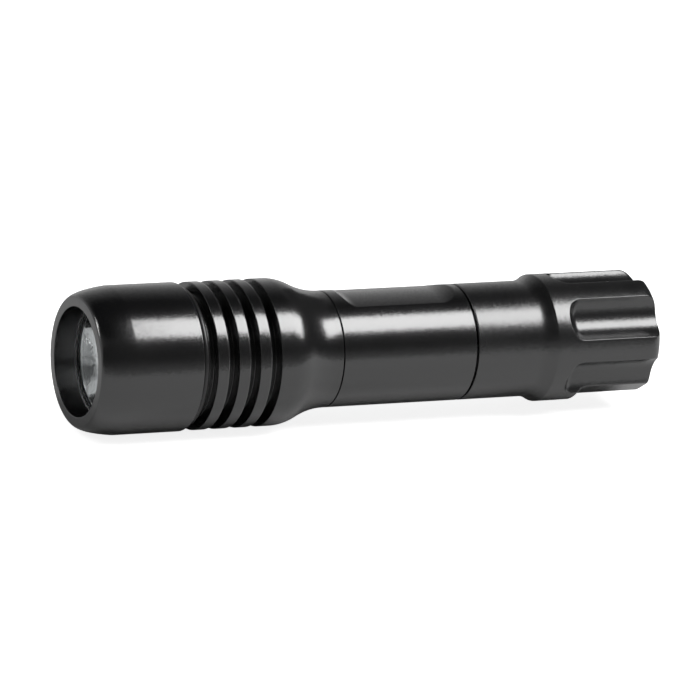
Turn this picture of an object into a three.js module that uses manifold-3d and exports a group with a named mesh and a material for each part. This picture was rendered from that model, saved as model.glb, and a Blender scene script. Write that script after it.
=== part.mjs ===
// Dive torch: a turned aluminium hand torch for one rechargeable lithium cell.
// It lies along X, lamp towards -X and tail towards +X, with the crowned flat of its tube uppermost.
// The origin is the centre of the tail face. Lengths are millimetres, angles are degrees.

import * as THREE from 'three';
import { mergeVertices } from 'three/addons/utils/BufferGeometryUtils.js';
import Module from 'manifold-3d';

const wasm = await Module();
wasm.setup();

// Clearances
const THREAD_CLEARANCE = 0.15;
const FACE_GAP = 0.1;
const SEAL_GAP = 0.08;
const PARTING_GAP = 0.15;
const CELL_CLEARANCE = 0.4;
const LENS_CLEARANCE = 0.2;
const SPRING_GAP = 0.3;

// Lithium cell, the standard part that sets the bore and the length
const CELL_RADIUS = 9.2;
const CELL_LENGTH = 67.5;
const CELL_EDGE = 0.8;
const BUTTON_RADIUS = 2.8;
const BUTTON_HEIGHT = 1.3;
const INSULATOR_RADIUS = 7.9;
const INSULATOR_THICKNESS = 0.4;

// Tube and its threaded spigots
const SPIGOT_WALL = 1.9;
const SLEEVE_WALL = 1.4;
const TUBE_LENGTH = 32.65;
const TAIL_SPIGOT_LENGTH = 21;
const EDGE_BREAK = 0.3;
const FLAT_DEPTH = 0.84;
const FLAT_CROWN = 28.6;
const FLAT_SETBACK = 5.25;
const FLAT_LENGTH = 21;
const FLAT_FRONT_RUN_OUT = 4.5;
const FLAT_BACK_RUN_OUT = 13;

// O-rings: squeezed section and the groove that holds it
const RING_SEAL_WIDTH = 1.7;
const RING_SEAL_HEIGHT = 1.25;
const SEAL_GROOVE_WIDTH = 2.1;
const SEAL_FIRST = 2.4;
const SEAL_PITCH = 3.2;

// Lamp, from the lip back to the cell
const LIP_DEPTH = 4.5;
const LIP_WIDTH = 2;
const MOUTH_MARGIN = 0.3;
const LENS_THICKNESS = 3;
const LENS_OVERLAP = 1.65;
const LENS_CHAMFER = 0.35;
const LENS_RING_HEIGHT = 1.5;
const LENS_RING_WIDTH = 1.3;
const REFLECTOR_RADIUS = 11.55;
const REFLECTOR_LENGTH = 20.85;
const REFLECTOR_RIM_WALL = 0.65;
const REFLECTOR_RIM_LENGTH = 2.4;
const REFLECTOR_HOLE = 3.4;
const REFLECTOR_FOOT_WALL = 1.4;
const REFLECTOR_CLEARANCE = 0.2;
const GASKET_THICKNESS = 1.5;
const EMITTER_SIDE = 5;
const EMITTER_THICKNESS = 0.7;
const EMITTER_DOME = 1.9;
const LED_BOARD_RADIUS = 7;
const LED_BOARD_THICKNESS = 1.6;
const CARRIER_LENGTH = 13;
const CARRIER_FACE = 4.4;
const CARRIER_LEDGE = 0.85;
const LEAD_RADIUS = 0.5;
const LEAD_MARGIN = 0.5;
const LEAD_HOLE_CLEARANCE = 0.25;
const LEAD_BEND = 1.2;
const DRIVER_DEPTH = 9;
const DRIVER_THICKNESS = 1.6;
const DRIVER_RING_LENGTH = 1.8;
const DRIVER_RING_WIDTH = 1.75;
const INDUCTOR_RADIUS = 3;
const INDUCTOR_HEIGHT = 3;
const DRIVER_SPRING_LENGTH = 6.3;
const DRIVER_SPRING_BASE = 4.2;
const DRIVER_SPRING_TIP = 2.2;
const DRIVER_SPRING_WIRE = 0.35;
const DRIVER_SPRING_TURNS = 5;

// Bezel and head housing
const BEZEL_LENGTH = 23.3;
const BEZEL_WALL = 2.45;
const NOSE_LENGTH = 8.7;
const NOSE_SWEEP = 76;
const HEAD_FRONT_WALL = 2.25;
const OPEN_GROOVE_WIDTH = 3.28;
const BEZEL_SEAL_SECTION = 1.6;
const COOLING_RING_COUNT = 3;
const COOLING_RING_WIDTH = 2.9;
const COOLING_RING_PITCH = 5.11;
const COOLING_GROOVE_DEPTH = 3;
const HEAD_WALL = 1.67;
const HEAD_BAND = 3.1;
const TAPER_LENGTH = 13.3;
const TAPER_SPLIT = 0.37;
const NECK_LENGTH = 0.19;
const CARRIER_SHOULDER = 1;
const CARRIER_SHOULDER_LIP = 2.15;

// Tail cap, which is both the battery door and the twist switch
const SWITCH_TRAVEL = 0.5;
const CAP_SLEEVE_LENGTH = 15.4;
const SHOULDER_LENGTH = 3.9;
const SHOULDER_RISE = 1.3;
const SHOULDER_SPLIT = 0.85;
const REAR_WALL = 7.3;
const REAR_ROUND = 3;
const CHAMBER_STEP = 0.6;
const FLUTE_COUNT = 6;
const FLUTE_RADIUS = 7.6;
const FLUTE_DEPTH = 2.44;
const FLUTE_END = 4.63;
const FLUTE_SETBACK = 5.1;
const FLUTE_ANGLE = 4.6;
const LAND_DEPTH = 1.55;
const LAND_SETBACK = 7.9;
const LAND_RUN_OUT = 1.2;
const LAND_INDEX = 3.5;
const TAIL_SPRING_LENGTH = 10.4;
const TAIL_SPRING_TIP = 3.6;
const TAIL_SPRING_BASE = 7.4;
const TAIL_SPRING_WIRE = 0.55;
const TAIL_SPRING_TURNS = 6;
const PLATE_THICKNESS = 1.4;
const PLATE_RING_LENGTH = 1.9;
const PLATE_RING_WIDTH = 1.75;

// Fineness of the turned faces, of the round stretches of an outline and of small wires
const TURNED_SIDES = 32;
const CROWN_SIDES = 72;
const SMALL_SIDES = 20;
const ARC_STEPS = 4;
const SEAL_SIDES = 6;
const WIRE_SIDES = 5;
const STEPS_PER_CURL = 8;

// Radii, from the cell and the reflector outwards
const BORE = CELL_RADIUS + CELL_CLEARANCE;
const SPIGOT = BORE + SPIGOT_WALL;
const SOCKET = SPIGOT + THREAD_CLEARANCE;
const TUBE_RADIUS = SOCKET + SLEEVE_WALL;
const CAP_RADIUS = TUBE_RADIUS + SHOULDER_RISE;
const CHAMBER = BORE + CHAMBER_STEP;
const SEAL_FLOOR = SPIGOT - RING_SEAL_HEIGHT;
const MOUTH = REFLECTOR_RADIUS + MOUTH_MARGIN;
const LIP_RADIUS = MOUTH + LIP_WIDTH;
const LENS_RADIUS = REFLECTOR_RADIUS + LENS_OVERLAP;
const POCKET = REFLECTOR_RADIUS + REFLECTOR_CLEARANCE;
const HEAD_SPIGOT = POCKET + HEAD_FRONT_WALL;
const BEZEL_BORE = HEAD_SPIGOT + THREAD_CLEARANCE;
const BEZEL_RADIUS = BEZEL_BORE + BEZEL_WALL;
const COOLING_FLOOR = POCKET + HEAD_WALL;
const COOLING_RADIUS = COOLING_FLOOR + COOLING_GROOVE_DEPTH;
const CARRIER_BORE = BORE + FACE_GAP;

// Stations along the torch, from the front lip backwards
const LENS_FRONT = LIP_DEPTH + FACE_GAP;
const LENS_BACK = LENS_FRONT + LENS_THICKNESS;
const LENS_RING_FRONT = LENS_BACK + SEAL_GAP;
const HEAD_FRONT = LENS_RING_FRONT + LENS_RING_HEIGHT + SEAL_GAP;
const REFLECTOR_FRONT = LENS_BACK + FACE_GAP;
const REFLECTOR_BACK = REFLECTOR_FRONT + REFLECTOR_LENGTH;
const GASKET_FRONT = REFLECTOR_BACK + FACE_GAP;
const LED_BOARD_FRONT = GASKET_FRONT + GASKET_THICKNESS + FACE_GAP;
const CARRIER_FRONT = LED_BOARD_FRONT + LED_BOARD_THICKNESS + FACE_GAP;
const CARRIER_BACK = CARRIER_FRONT + CARRIER_LENGTH;
const SHOULDER_BACK = CARRIER_FRONT - FACE_GAP;
const SHOULDER_FRONT = SHOULDER_BACK - CARRIER_SHOULDER;
const LEDGE_STATION = CARRIER_FRONT + DRIVER_DEPTH;
const DRIVER_FRONT = LEDGE_STATION + FACE_GAP;
const DRIVER_BACK = DRIVER_FRONT + DRIVER_THICKNESS;
const DRIVER_SPRING_FRONT = DRIVER_BACK + FACE_GAP;
const BUTTON_FRONT = DRIVER_SPRING_FRONT + DRIVER_SPRING_LENGTH + SPRING_GAP;
const CELL_FRONT = BUTTON_FRONT + BUTTON_HEIGHT + FACE_GAP;
const CELL_BACK = CELL_FRONT + CELL_LENGTH;
const TAIL_SPRING_FRONT = CELL_BACK + SPRING_GAP;
const PLATE_FRONT = TAIL_SPRING_FRONT + TAIL_SPRING_LENGTH + FACE_GAP;
const CHAMBER_FLOOR = PLATE_FRONT + PLATE_THICKNESS + FACE_GAP;
const LENGTH = CHAMBER_FLOOR + REAR_WALL;
const COOLING_FRONT = BEZEL_LENGTH + OPEN_GROOVE_WIDTH;
const BAND_FRONT = COOLING_FRONT + COOLING_RING_COUNT * COOLING_RING_PITCH;
const TAPER_FRONT = BAND_FRONT + HEAD_BAND;
const HEAD_BACK = TAPER_FRONT + TAPER_LENGTH + NECK_LENGTH;
const TUBE_FRONT = HEAD_BACK + PARTING_GAP;
const TUBE_BACK = TUBE_FRONT + TUBE_LENGTH;
const FRONT_SPIGOT_END = CARRIER_BACK + FACE_GAP;
const TAIL_SPIGOT_END = TUBE_BACK + TAIL_SPIGOT_LENGTH;
const CAP_FRONT = TUBE_BACK + SWITCH_TRAVEL + FACE_GAP;
const CAP_STEP = TAIL_SPIGOT_END + SWITCH_TRAVEL + FACE_GAP;
const CAP_SHOULDER = CAP_FRONT + CAP_SLEEVE_LENGTH;
const FLUTE_FRONT = CAP_STEP + FLUTE_SETBACK;
const LAND_FRONT = CAP_STEP + LAND_SETBACK;

// Outlines are drawn in the plane (station, radius)

function outlineFrom(station, radius) {
  const path = new THREE.Path();
  path.moveTo(station, radius);
  return path;
}

// A smooth step to another radius: it leaves level, is steepest at its split and arrives level
function smoothStep(path, length, radius, split) {
  const from = path.currentPoint.clone();
  const rise = radius - from.y;
  const middle = new THREE.Vector2(from.x + length * split, from.y + rise * split);
  path.quadraticCurveTo(from.x + length * split / 2, from.y, middle.x, middle.y);
  path.quadraticCurveTo(middle.x + length * (1 - split) / 2, radius, from.x + length, radius);
}

// A body turned about X from an outline that closes on itself or ends on the axis
function turned(path, sides = TURNED_SIDES) {
  const points = path.getPoints(ARC_STEPS).map((p) => new THREE.Vector2(p.y, p.x));
  const closed = points[0].x > 0;
  if (closed && points[0].distanceTo(points.at(-1)) > 0) points.push(points[0].clone());
  if (THREE.ShapeUtils.isClockWise(points)) points.reverse();
  return new THREE.LatheGeometry(points, sides).rotateZ(-Math.PI / 2);
}

function cylinder(front, back, radius, sides = TURNED_SIDES) {
  const path = outlineFrom(front, 0);
  path.lineTo(front, radius);
  path.lineTo(back, radius);
  path.lineTo(back, 0);
  return turned(path, sides);
}

function ring(front, back, inner, outer, sides = TURNED_SIDES) {
  const path = outlineFrom(front, inner);
  path.lineTo(front, outer);
  path.lineTo(back, outer);
  path.lineTo(back, inner);
  path.closePath();
  return turned(path, sides);
}

// An O-ring squeezed to an oval section between two radii
function sealRing(front, back, inner, outer) {
  const points = [];
  for (let i = 0; i < SEAL_SIDES; i += 1) {
    const angle = 2 * Math.PI * (i + 0.5) / SEAL_SIDES;
    const reach = 1 / Math.cos(Math.PI / SEAL_SIDES);
    const along = Math.cos(angle) * reach;
    const across = Math.sin(angle);
    points.push(new THREE.Vector2(
      (front + back) / 2 + along * (back - front) / 2,
      (inner + outer) / 2 + across * (outer - inner) / 2,
    ));
  }
  const path = new THREE.Path(points);
  path.closePath();
  return turned(path);
}

// Joining and cutting closed bodies

function solid(geometry) {
  const bare = geometry.clone();
  bare.deleteAttribute('normal');
  bare.deleteAttribute('uv');
  const merged = mergeVertices(bare);
  return new wasm.Manifold(new wasm.Mesh({
    numProp: 3,
    vertProperties: new Float32Array(merged.attributes.position.array),
    triVerts: new Uint32Array(merged.index.array),
  }));
}

function geometryOf(body) {
  const mesh = body.getMesh();
  const geometry = new THREE.BufferGeometry();
  geometry.setAttribute('position', new THREE.BufferAttribute(mesh.vertProperties, 3));
  geometry.setIndex(new THREE.BufferAttribute(mesh.triVerts, 1));
  return geometry;
}

function cut(geometry, cutters) {
  return geometryOf(cutters.reduce((body, cutter) => body.subtract(solid(cutter)), solid(geometry)));
}

// Turns a cutter made at the top of the torch to another angle about its axis
function atAngle(geometry, angle) {
  return geometry.rotateX(-THREE.MathUtils.degToRad(angle));
}

// A cutter that leaves a crowned flat, as turned about an axis far below the tube, with two round run-outs
function crownCutter(front, back) {
  const depth = 2 * FLAT_DEPTH;
  const frontSweep = Math.acos(1 - depth / FLAT_FRONT_RUN_OUT);
  const backSweep = Math.acos(1 - depth / FLAT_BACK_RUN_OUT);
  const lowest = 1.5 * Math.PI;
  const path = new THREE.Path();
  path.absarc(front, FLAT_CROWN + FLAT_FRONT_RUN_OUT, FLAT_FRONT_RUN_OUT, lowest - frontSweep, lowest, false);
  path.absarc(back, FLAT_CROWN + FLAT_BACK_RUN_OUT, FLAT_BACK_RUN_OUT, lowest, lowest + backSweep, false);
  path.closePath();
  const halfSide = Math.PI / CROWN_SIDES;
  const drop = TUBE_RADIUS - FLAT_DEPTH - FLAT_CROWN * Math.cos(halfSide);
  return turned(path, CROWN_SIDES).rotateX(halfSide).translate(0, 0, drop);
}

// A cutter that leaves a flat at a height above the axis, with a round run-out at each end
function flatCutter(front, back, height, runOut, halfWidth) {
  const top = height + 2 * runOut;
  const shape = new THREE.Shape();
  shape.moveTo(front, height);
  shape.lineTo(back, height);
  shape.absarc(back, height + runOut, runOut, -Math.PI / 2, 0, false);
  shape.lineTo(back + runOut, top);
  shape.lineTo(front - runOut, top);
  shape.absarc(front, height + runOut, runOut, Math.PI, 1.5 * Math.PI, false);
  const plate = new THREE.ExtrudeGeometry(shape, {
    depth: 2 * halfWidth,
    bevelEnabled: false,
    curveSegments: ARC_STEPS,
  });
  return plate.translate(0, 0, -halfWidth).rotateX(Math.PI / 2);
}

// A cutter for one flute: a long round bar with an oval nose
function fluteCutter() {
  const axisRadius = CAP_RADIUS - FLUTE_DEPTH + FLUTE_RADIUS;
  const overrun = FLUTE_RADIUS;
  const bar = cylinder(FLUTE_FRONT, LENGTH + overrun, FLUTE_RADIUS);
  const nose = new THREE.SphereGeometry(FLUTE_RADIUS, TURNED_SIDES, TURNED_SIDES / 2);
  nose.rotateZ(Math.PI / 2).scale(FLUTE_END / FLUTE_RADIUS, 1, 1).translate(FLUTE_FRONT, 0, 0);
  return geometryOf(solid(bar).add(solid(nose))).translate(0, 0, axisRadius);
}

// A conical coil spring along X, whose radius runs from one end to the other
class ConeCoil extends THREE.Curve {
  constructor(front, length, frontRadius, backRadius, turns) {
    super();
    Object.assign(this, { front, length, frontRadius, backRadius, turns });
  }

  getPoint(t, target = new THREE.Vector3()) {
    const angle = 2 * Math.PI * this.turns * t;
    const radius = THREE.MathUtils.lerp(this.frontRadius, this.backRadius, t);
    return target.set(this.front + this.length * t, radius * Math.cos(angle), radius * Math.sin(angle));
  }
}

function roundSection(radius, sides) {
  const points = [];
  for (let i = 0; i < sides; i += 1) {
    const angle = 2 * Math.PI * i / sides;
    points.push(new THREE.Vector2(radius * Math.cos(angle), radius * Math.sin(angle)));
  }
  return new THREE.Shape(points);
}

// The least gap between the curls of a coil, measured on points along its wire
function leastGap(coil, wireRadius) {
  const count = coil.turns * 4 * STEPS_PER_CURL;
  const points = coil.getPoints(count);
  const halfCurl = 2 * STEPS_PER_CURL;
  let least = Infinity;
  for (let i = 0; i < points.length; i += 1) {
    for (let j = i + halfCurl; j < points.length; j += 1) {
      least = Math.min(least, points[i].distanceTo(points[j]));
    }
  }
  return least - 2 * wireRadius;
}

function coilSpring(name, coil, wireRadius) {
  console.log(`${name}: least gap between curls ${leastGap(coil, wireRadius).toFixed(2)} mm`);
  return new THREE.ExtrudeGeometry(roundSection(wireRadius, WIRE_SIDES), {
    steps: coil.turns * STEPS_PER_CURL,
    bevelEnabled: false,
    extrudePath: coil,
  });
}

// Bezel: the knob-like front ring, with an oval nose, a flat lip and a pocket for the lens
function bezel() {
  const pocketEnd = HEAD_FRONT - FACE_GAP - LENS_RING_HEIGHT / 2;
  const path = outlineFrom(0, MOUTH);
  path.lineTo(0, LIP_RADIUS);
  const sweep = THREE.MathUtils.degToRad(NOSE_SWEEP);
  const noseReach = NOSE_LENGTH / (1 - Math.cos(sweep));
  const noseRise = (BEZEL_RADIUS - LIP_RADIUS) / Math.sin(sweep);
  path.absellipse(noseReach, LIP_RADIUS, noseReach, noseRise, Math.PI, Math.PI - sweep, true);
  path.lineTo(BEZEL_LENGTH - EDGE_BREAK, BEZEL_RADIUS);
  path.lineTo(BEZEL_LENGTH, BEZEL_RADIUS - EDGE_BREAK);
  path.lineTo(BEZEL_LENGTH, BEZEL_BORE);
  path.lineTo(pocketEnd, BEZEL_BORE);
  path.lineTo(pocketEnd, LENS_RADIUS + LENS_CLEARANCE);
  path.lineTo(LIP_DEPTH, LENS_RADIUS + LENS_CLEARANCE);
  path.lineTo(LIP_DEPTH, MOUTH);
  path.closePath();
  return turned(path);
}

// Lens: a thick flat glass with chamfered edges
function lens() {
  const path = outlineFrom(LENS_FRONT, 0);
  path.lineTo(LENS_FRONT, LENS_RADIUS - LENS_CHAMFER);
  path.lineTo(LENS_FRONT + LENS_CHAMFER, LENS_RADIUS);
  path.lineTo(LENS_BACK - LENS_CHAMFER, LENS_RADIUS);
  path.lineTo(LENS_BACK, LENS_RADIUS - LENS_CHAMFER);
  path.lineTo(LENS_BACK, 0);
  return turned(path);
}

// Reflector: a deep parabola whose focus is at the emitter, with a rim that the lens holds down
function reflector() {
  const bowlRadius = REFLECTOR_RADIUS - REFLECTOR_RIM_WALL;
  const squareFall = (bowlRadius ** 2 - REFLECTOR_HOLE ** 2) / REFLECTOR_LENGTH;
  const bowl = (depth) => Math.sqrt(bowlRadius ** 2 - squareFall * depth);
  const steps = 2 * ARC_STEPS - 1;
  const path = outlineFrom(REFLECTOR_FRONT, bowlRadius);
  path.lineTo(REFLECTOR_FRONT, REFLECTOR_RADIUS);
  for (let i = 0; i <= steps; i += 1) {
    const depth = REFLECTOR_RIM_LENGTH + (REFLECTOR_LENGTH - REFLECTOR_RIM_LENGTH) * i / steps;
    const rimWall = REFLECTOR_RADIUS - bowl(REFLECTOR_RIM_LENGTH);
    const wall = THREE.MathUtils.lerp(rimWall, REFLECTOR_FOOT_WALL, i / steps);
    path.lineTo(REFLECTOR_FRONT + depth, bowl(depth) + wall);
  }
  for (let i = steps; i > 0; i -= 1) {
    const depth = REFLECTOR_LENGTH * (i / steps);
    path.lineTo(REFLECTOR_FRONT + depth, bowl(depth));
  }
  path.closePath();
  return turned(path);
}

// Gasket: a plastic ring with a square window that centres the reflector on the emitter
function ledGasket() {
  const window = EMITTER_SIDE + 2 * FACE_GAP;
  const back = GASKET_FRONT + GASKET_THICKNESS;
  const disc = cylinder(GASKET_FRONT, back, REFLECTOR_HOLE + REFLECTOR_FOOT_WALL, SMALL_SIDES);
  const opening = new THREE.BoxGeometry(3 * GASKET_THICKNESS, window, window);
  return cut(disc, [opening.translate((GASKET_FRONT + back) / 2, 0, 0)]);
}

// Emitter: a square package with a clear dome
function ledEmitter() {
  const back = LED_BOARD_FRONT - FACE_GAP;
  const front = back - EMITTER_THICKNESS;
  const base = new THREE.BoxGeometry(EMITTER_THICKNESS, EMITTER_SIDE, EMITTER_SIDE);
  const path = outlineFrom(back, 0);
  path.lineTo(back, EMITTER_DOME);
  path.lineTo(front, EMITTER_DOME);
  path.absarc(front, 0, EMITTER_DOME, Math.PI / 2, Math.PI, false);
  const dome = turned(path, SMALL_SIDES);
  return geometryOf(solid(base.translate((front + back) / 2, 0, 0)).add(solid(dome)));
}

// Leads: from the driver through the carrier, over the edge of the board to its solder pads
const LEAD_OFFSET = LED_BOARD_RADIUS + LEAD_RADIUS + LEAD_MARGIN;

function lead(side) {
  const top = LED_BOARD_FRONT - FACE_GAP - LEAD_RADIUS;
  const padOffset = REFLECTOR_HOLE + REFLECTOR_FOOT_WALL + LEAD_MARGIN;
  const start = new THREE.Vector3(DRIVER_FRONT - FACE_GAP, side * LEAD_OFFSET, 0);
  const bendStart = new THREE.Vector3(top + LEAD_BEND, side * LEAD_OFFSET, 0);
  const corner = new THREE.Vector3(top, side * LEAD_OFFSET, 0);
  const bendEnd = new THREE.Vector3(top, side * (LEAD_OFFSET - LEAD_BEND), 0);
  const end = new THREE.Vector3(top, side * padOffset, 0);
  const route = new THREE.CurvePath();
  route.add(new THREE.LineCurve3(start, bendStart));
  route.add(new THREE.QuadraticBezierCurve3(bendStart, corner, bendEnd));
  route.add(new THREE.LineCurve3(bendEnd, end));
  return new THREE.ExtrudeGeometry(roundSection(LEAD_RADIUS, WIRE_SIDES + 1), {
    steps: 3 * ARC_STEPS,
    bevelEnabled: false,
    extrudePath: route,
  });
}

// Carrier: a brass cup that takes the heat of the board and holds the driver in its back
function ledCarrier() {
  const path = outlineFrom(CARRIER_FRONT, 0);
  path.lineTo(CARRIER_FRONT, SPIGOT);
  path.lineTo(CARRIER_BACK, SPIGOT);
  path.lineTo(CARRIER_BACK, CARRIER_BORE);
  path.lineTo(LEDGE_STATION, CARRIER_BORE);
  path.lineTo(LEDGE_STATION, CARRIER_BORE - CARRIER_LEDGE);
  path.lineTo(CARRIER_FRONT + CARRIER_FACE, CARRIER_BORE - CARRIER_LEDGE);
  path.lineTo(CARRIER_FRONT + CARRIER_FACE, 0);
  const hole = (side) => cylinder(
    CARRIER_FRONT - CARRIER_FACE,
    CARRIER_FRONT + 2 * CARRIER_FACE,
    LEAD_RADIUS + LEAD_HOLE_CLEARANCE,
    SMALL_SIDES / 2,
  ).translate(0, side * LEAD_OFFSET, 0);
  return cut(turned(path), [hole(1), hole(-1)]);
}

// Head: front spigot for the bezel, cooling rings, a band and a smooth taper to the neck
function headHousing() {
  const path = outlineFrom(HEAD_FRONT, POCKET);
  path.lineTo(HEAD_FRONT, HEAD_SPIGOT);
  path.lineTo(COOLING_FRONT, HEAD_SPIGOT);
  for (let i = 0; i < COOLING_RING_COUNT; i += 1) {
    const front = COOLING_FRONT + i * COOLING_RING_PITCH;
    path.lineTo(front, COOLING_RADIUS);
    path.lineTo(front + COOLING_RING_WIDTH, COOLING_RADIUS);
    path.lineTo(front + COOLING_RING_WIDTH, COOLING_FLOOR);
    path.lineTo(front + COOLING_RING_PITCH, COOLING_FLOOR);
  }
  path.lineTo(BAND_FRONT, COOLING_RADIUS);
  path.lineTo(TAPER_FRONT, COOLING_RADIUS);
  smoothStep(path, TAPER_LENGTH, TUBE_RADIUS, TAPER_SPLIT);
  path.lineTo(HEAD_BACK - EDGE_BREAK / 2, TUBE_RADIUS);
  path.lineTo(HEAD_BACK, TUBE_RADIUS - EDGE_BREAK);
  path.lineTo(HEAD_BACK, SOCKET);
  path.lineTo(SHOULDER_BACK, SOCKET);
  path.lineTo(SHOULDER_BACK, SOCKET - CARRIER_SHOULDER_LIP);
  path.lineTo(SHOULDER_FRONT, SOCKET - CARRIER_SHOULDER_LIP);
  path.lineTo(SHOULDER_FRONT, POCKET);
  path.closePath();
  return turned(path);
}

// Stations of the two O-rings on each spigot, counted from the shoulder that it ends at
const HEAD_SEALS = [0, 1].map((i) => TUBE_FRONT - SEAL_FIRST - i * SEAL_PITCH);
const TAIL_SEALS = [0, 1].map((i) => TUBE_BACK + SEAL_FIRST + SWITCH_TRAVEL + i * SEAL_PITCH);

function sealGroove(path, middle) {
  path.lineTo(middle - SEAL_GROOVE_WIDTH / 2, SPIGOT);
  path.lineTo(middle - SEAL_GROOVE_WIDTH / 2, SEAL_FLOOR);
  path.lineTo(middle + SEAL_GROOVE_WIDTH / 2, SEAL_FLOOR);
  path.lineTo(middle + SEAL_GROOVE_WIDTH / 2, SPIGOT);
}

function spigotSeal(middle) {
  const half = RING_SEAL_WIDTH / 2;
  return sealRing(middle - half, middle + half, SEAL_FLOOR + SEAL_GAP, SOCKET - SEAL_GAP);
}

// Body tube: a threaded spigot with two O-ring grooves at each end, and a crowned flat on top
function bodyTube() {
  const path = outlineFrom(FRONT_SPIGOT_END, BORE);
  path.lineTo(FRONT_SPIGOT_END, SPIGOT);
  HEAD_SEALS.toReversed().forEach((middle) => sealGroove(path, middle));
  path.lineTo(TUBE_FRONT, SPIGOT);
  path.lineTo(TUBE_FRONT, TUBE_RADIUS - EDGE_BREAK);
  path.lineTo(TUBE_FRONT + EDGE_BREAK, TUBE_RADIUS);
  path.lineTo(TUBE_BACK - EDGE_BREAK, TUBE_RADIUS);
  path.lineTo(TUBE_BACK, TUBE_RADIUS - EDGE_BREAK);
  path.lineTo(TUBE_BACK, SPIGOT);
  TAIL_SEALS.forEach((middle) => sealGroove(path, middle));
  path.lineTo(TAIL_SPIGOT_END, SPIGOT);
  path.lineTo(TAIL_SPIGOT_END, BORE);
  path.closePath();
  const flatFront = TUBE_FRONT + FLAT_SETBACK;
  return cut(turned(path), [crownCutter(flatFront, flatFront + FLAT_LENGTH)]);
}

function cellCan() {
  const path = outlineFrom(CELL_FRONT, 0);
  path.lineTo(CELL_FRONT, CELL_RADIUS - CELL_EDGE);
  path.lineTo(CELL_FRONT + CELL_EDGE, CELL_RADIUS);
  path.lineTo(CELL_BACK - CELL_EDGE, CELL_RADIUS);
  path.lineTo(CELL_BACK, CELL_RADIUS - CELL_EDGE);
  path.lineTo(CELL_BACK, 0);
  return turned(path);
}

// Tail cap: threaded sleeve, flared shoulder and a grip with long flutes and one flat land
function tailCap() {
  const path = outlineFrom(CHAMBER_FLOOR, 0);
  path.lineTo(CHAMBER_FLOOR, CHAMBER);
  path.lineTo(CAP_STEP, CHAMBER);
  path.lineTo(CAP_STEP, SOCKET);
  path.lineTo(CAP_FRONT, SOCKET);
  path.lineTo(CAP_FRONT, TUBE_RADIUS - EDGE_BREAK);
  path.lineTo(CAP_FRONT + EDGE_BREAK, TUBE_RADIUS);
  path.lineTo(CAP_SHOULDER, TUBE_RADIUS);
  smoothStep(path, SHOULDER_LENGTH, CAP_RADIUS, SHOULDER_SPLIT);
  path.lineTo(LENGTH - REAR_ROUND, CAP_RADIUS);
  path.absarc(LENGTH - REAR_ROUND, CAP_RADIUS - REAR_ROUND, REAR_ROUND, Math.PI / 2, 0, true);
  path.lineTo(LENGTH, 0);
  const pitch = 360 / FLUTE_COUNT;
  const cutters = [];
  for (let i = 0; i < FLUTE_COUNT; i += 1) {
    cutters.push(atAngle(fluteCutter(), FLUTE_ANGLE + i * pitch));
  }
  const land = flatCutter(
    LAND_FRONT + LAND_RUN_OUT,
    LENGTH + CAP_RADIUS,
    CAP_RADIUS - LAND_DEPTH,
    LAND_RUN_OUT,
    CAP_RADIUS / 2,
  );
  cutters.push(atAngle(land, FLUTE_ANGLE + LAND_INDEX * pitch));
  return cut(turned(path), cutters);
}

// Finishes, by colour, roughness and metalness
const BLACK_ANODISED = { color: 0x17181a, roughness: 0.42, metalness: 0.75 };
const BLACK_RUBBER = { color: 0x101010, roughness: 0.55, metalness: 0 };
const CLEAR_GLASS = { color: 0xdfe8ea, roughness: 0.04, metalness: 0, transparent: true, opacity: 0.3 };
const PLATED_REFLECTOR = { color: 0xd8d9da, roughness: 0.16, metalness: 1 };
const WHITE_PLASTIC = { color: 0xe9e7e0, roughness: 0.5, metalness: 0 };
const EMITTER_YELLOW = { color: 0xe8c64a, roughness: 0.25, metalness: 0 };
const WHITE_BOARD = { color: 0xe4e5e2, roughness: 0.45, metalness: 0 };
const GREEN_BOARD = { color: 0x1d5a36, roughness: 0.45, metalness: 0 };
const BRASS = { color: 0xb58f4a, roughness: 0.32, metalness: 1 };
const SPRING_STEEL = { color: 0xa9abad, roughness: 0.28, metalness: 1 };
const FERRITE = { color: 0x3a3c3f, roughness: 0.6, metalness: 0.1 };
const RED_INSULATION = { color: 0x9c1a16, roughness: 0.45, metalness: 0 };
const BLACK_INSULATION = { color: 0x151515, roughness: 0.45, metalness: 0 };
const CELL_WRAP = { color: 0x2a5f8f, roughness: 0.35, metalness: 0 };

const torch = new THREE.Group();

function place(name, geometry, finish) {
  const mesh = new THREE.Mesh(geometry, new THREE.MeshStandardMaterial(finish));
  mesh.name = name;
  torch.add(mesh);
}

const bezelSealFront = BEZEL_LENGTH + FACE_GAP;
const bezelSealInner = HEAD_SPIGOT + SEAL_GAP;
const lensRingInner = REFLECTOR_RADIUS + REFLECTOR_CLEARANCE + SEAL_GAP;
const driverCoil = new ConeCoil(
  DRIVER_SPRING_FRONT + DRIVER_SPRING_WIRE,
  DRIVER_SPRING_LENGTH - 2 * DRIVER_SPRING_WIRE,
  DRIVER_SPRING_BASE,
  DRIVER_SPRING_TIP,
  DRIVER_SPRING_TURNS,
);
const tailCoil = new ConeCoil(
  TAIL_SPRING_FRONT + TAIL_SPRING_WIRE,
  TAIL_SPRING_LENGTH - 2 * TAIL_SPRING_WIRE,
  TAIL_SPRING_TIP,
  TAIL_SPRING_BASE,
  TAIL_SPRING_TURNS,
);
const driverRadius = CARRIER_BORE - FACE_GAP;
const plateRadius = CHAMBER - FACE_GAP;
const insulatorInner = BUTTON_RADIUS + SPRING_GAP;

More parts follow.
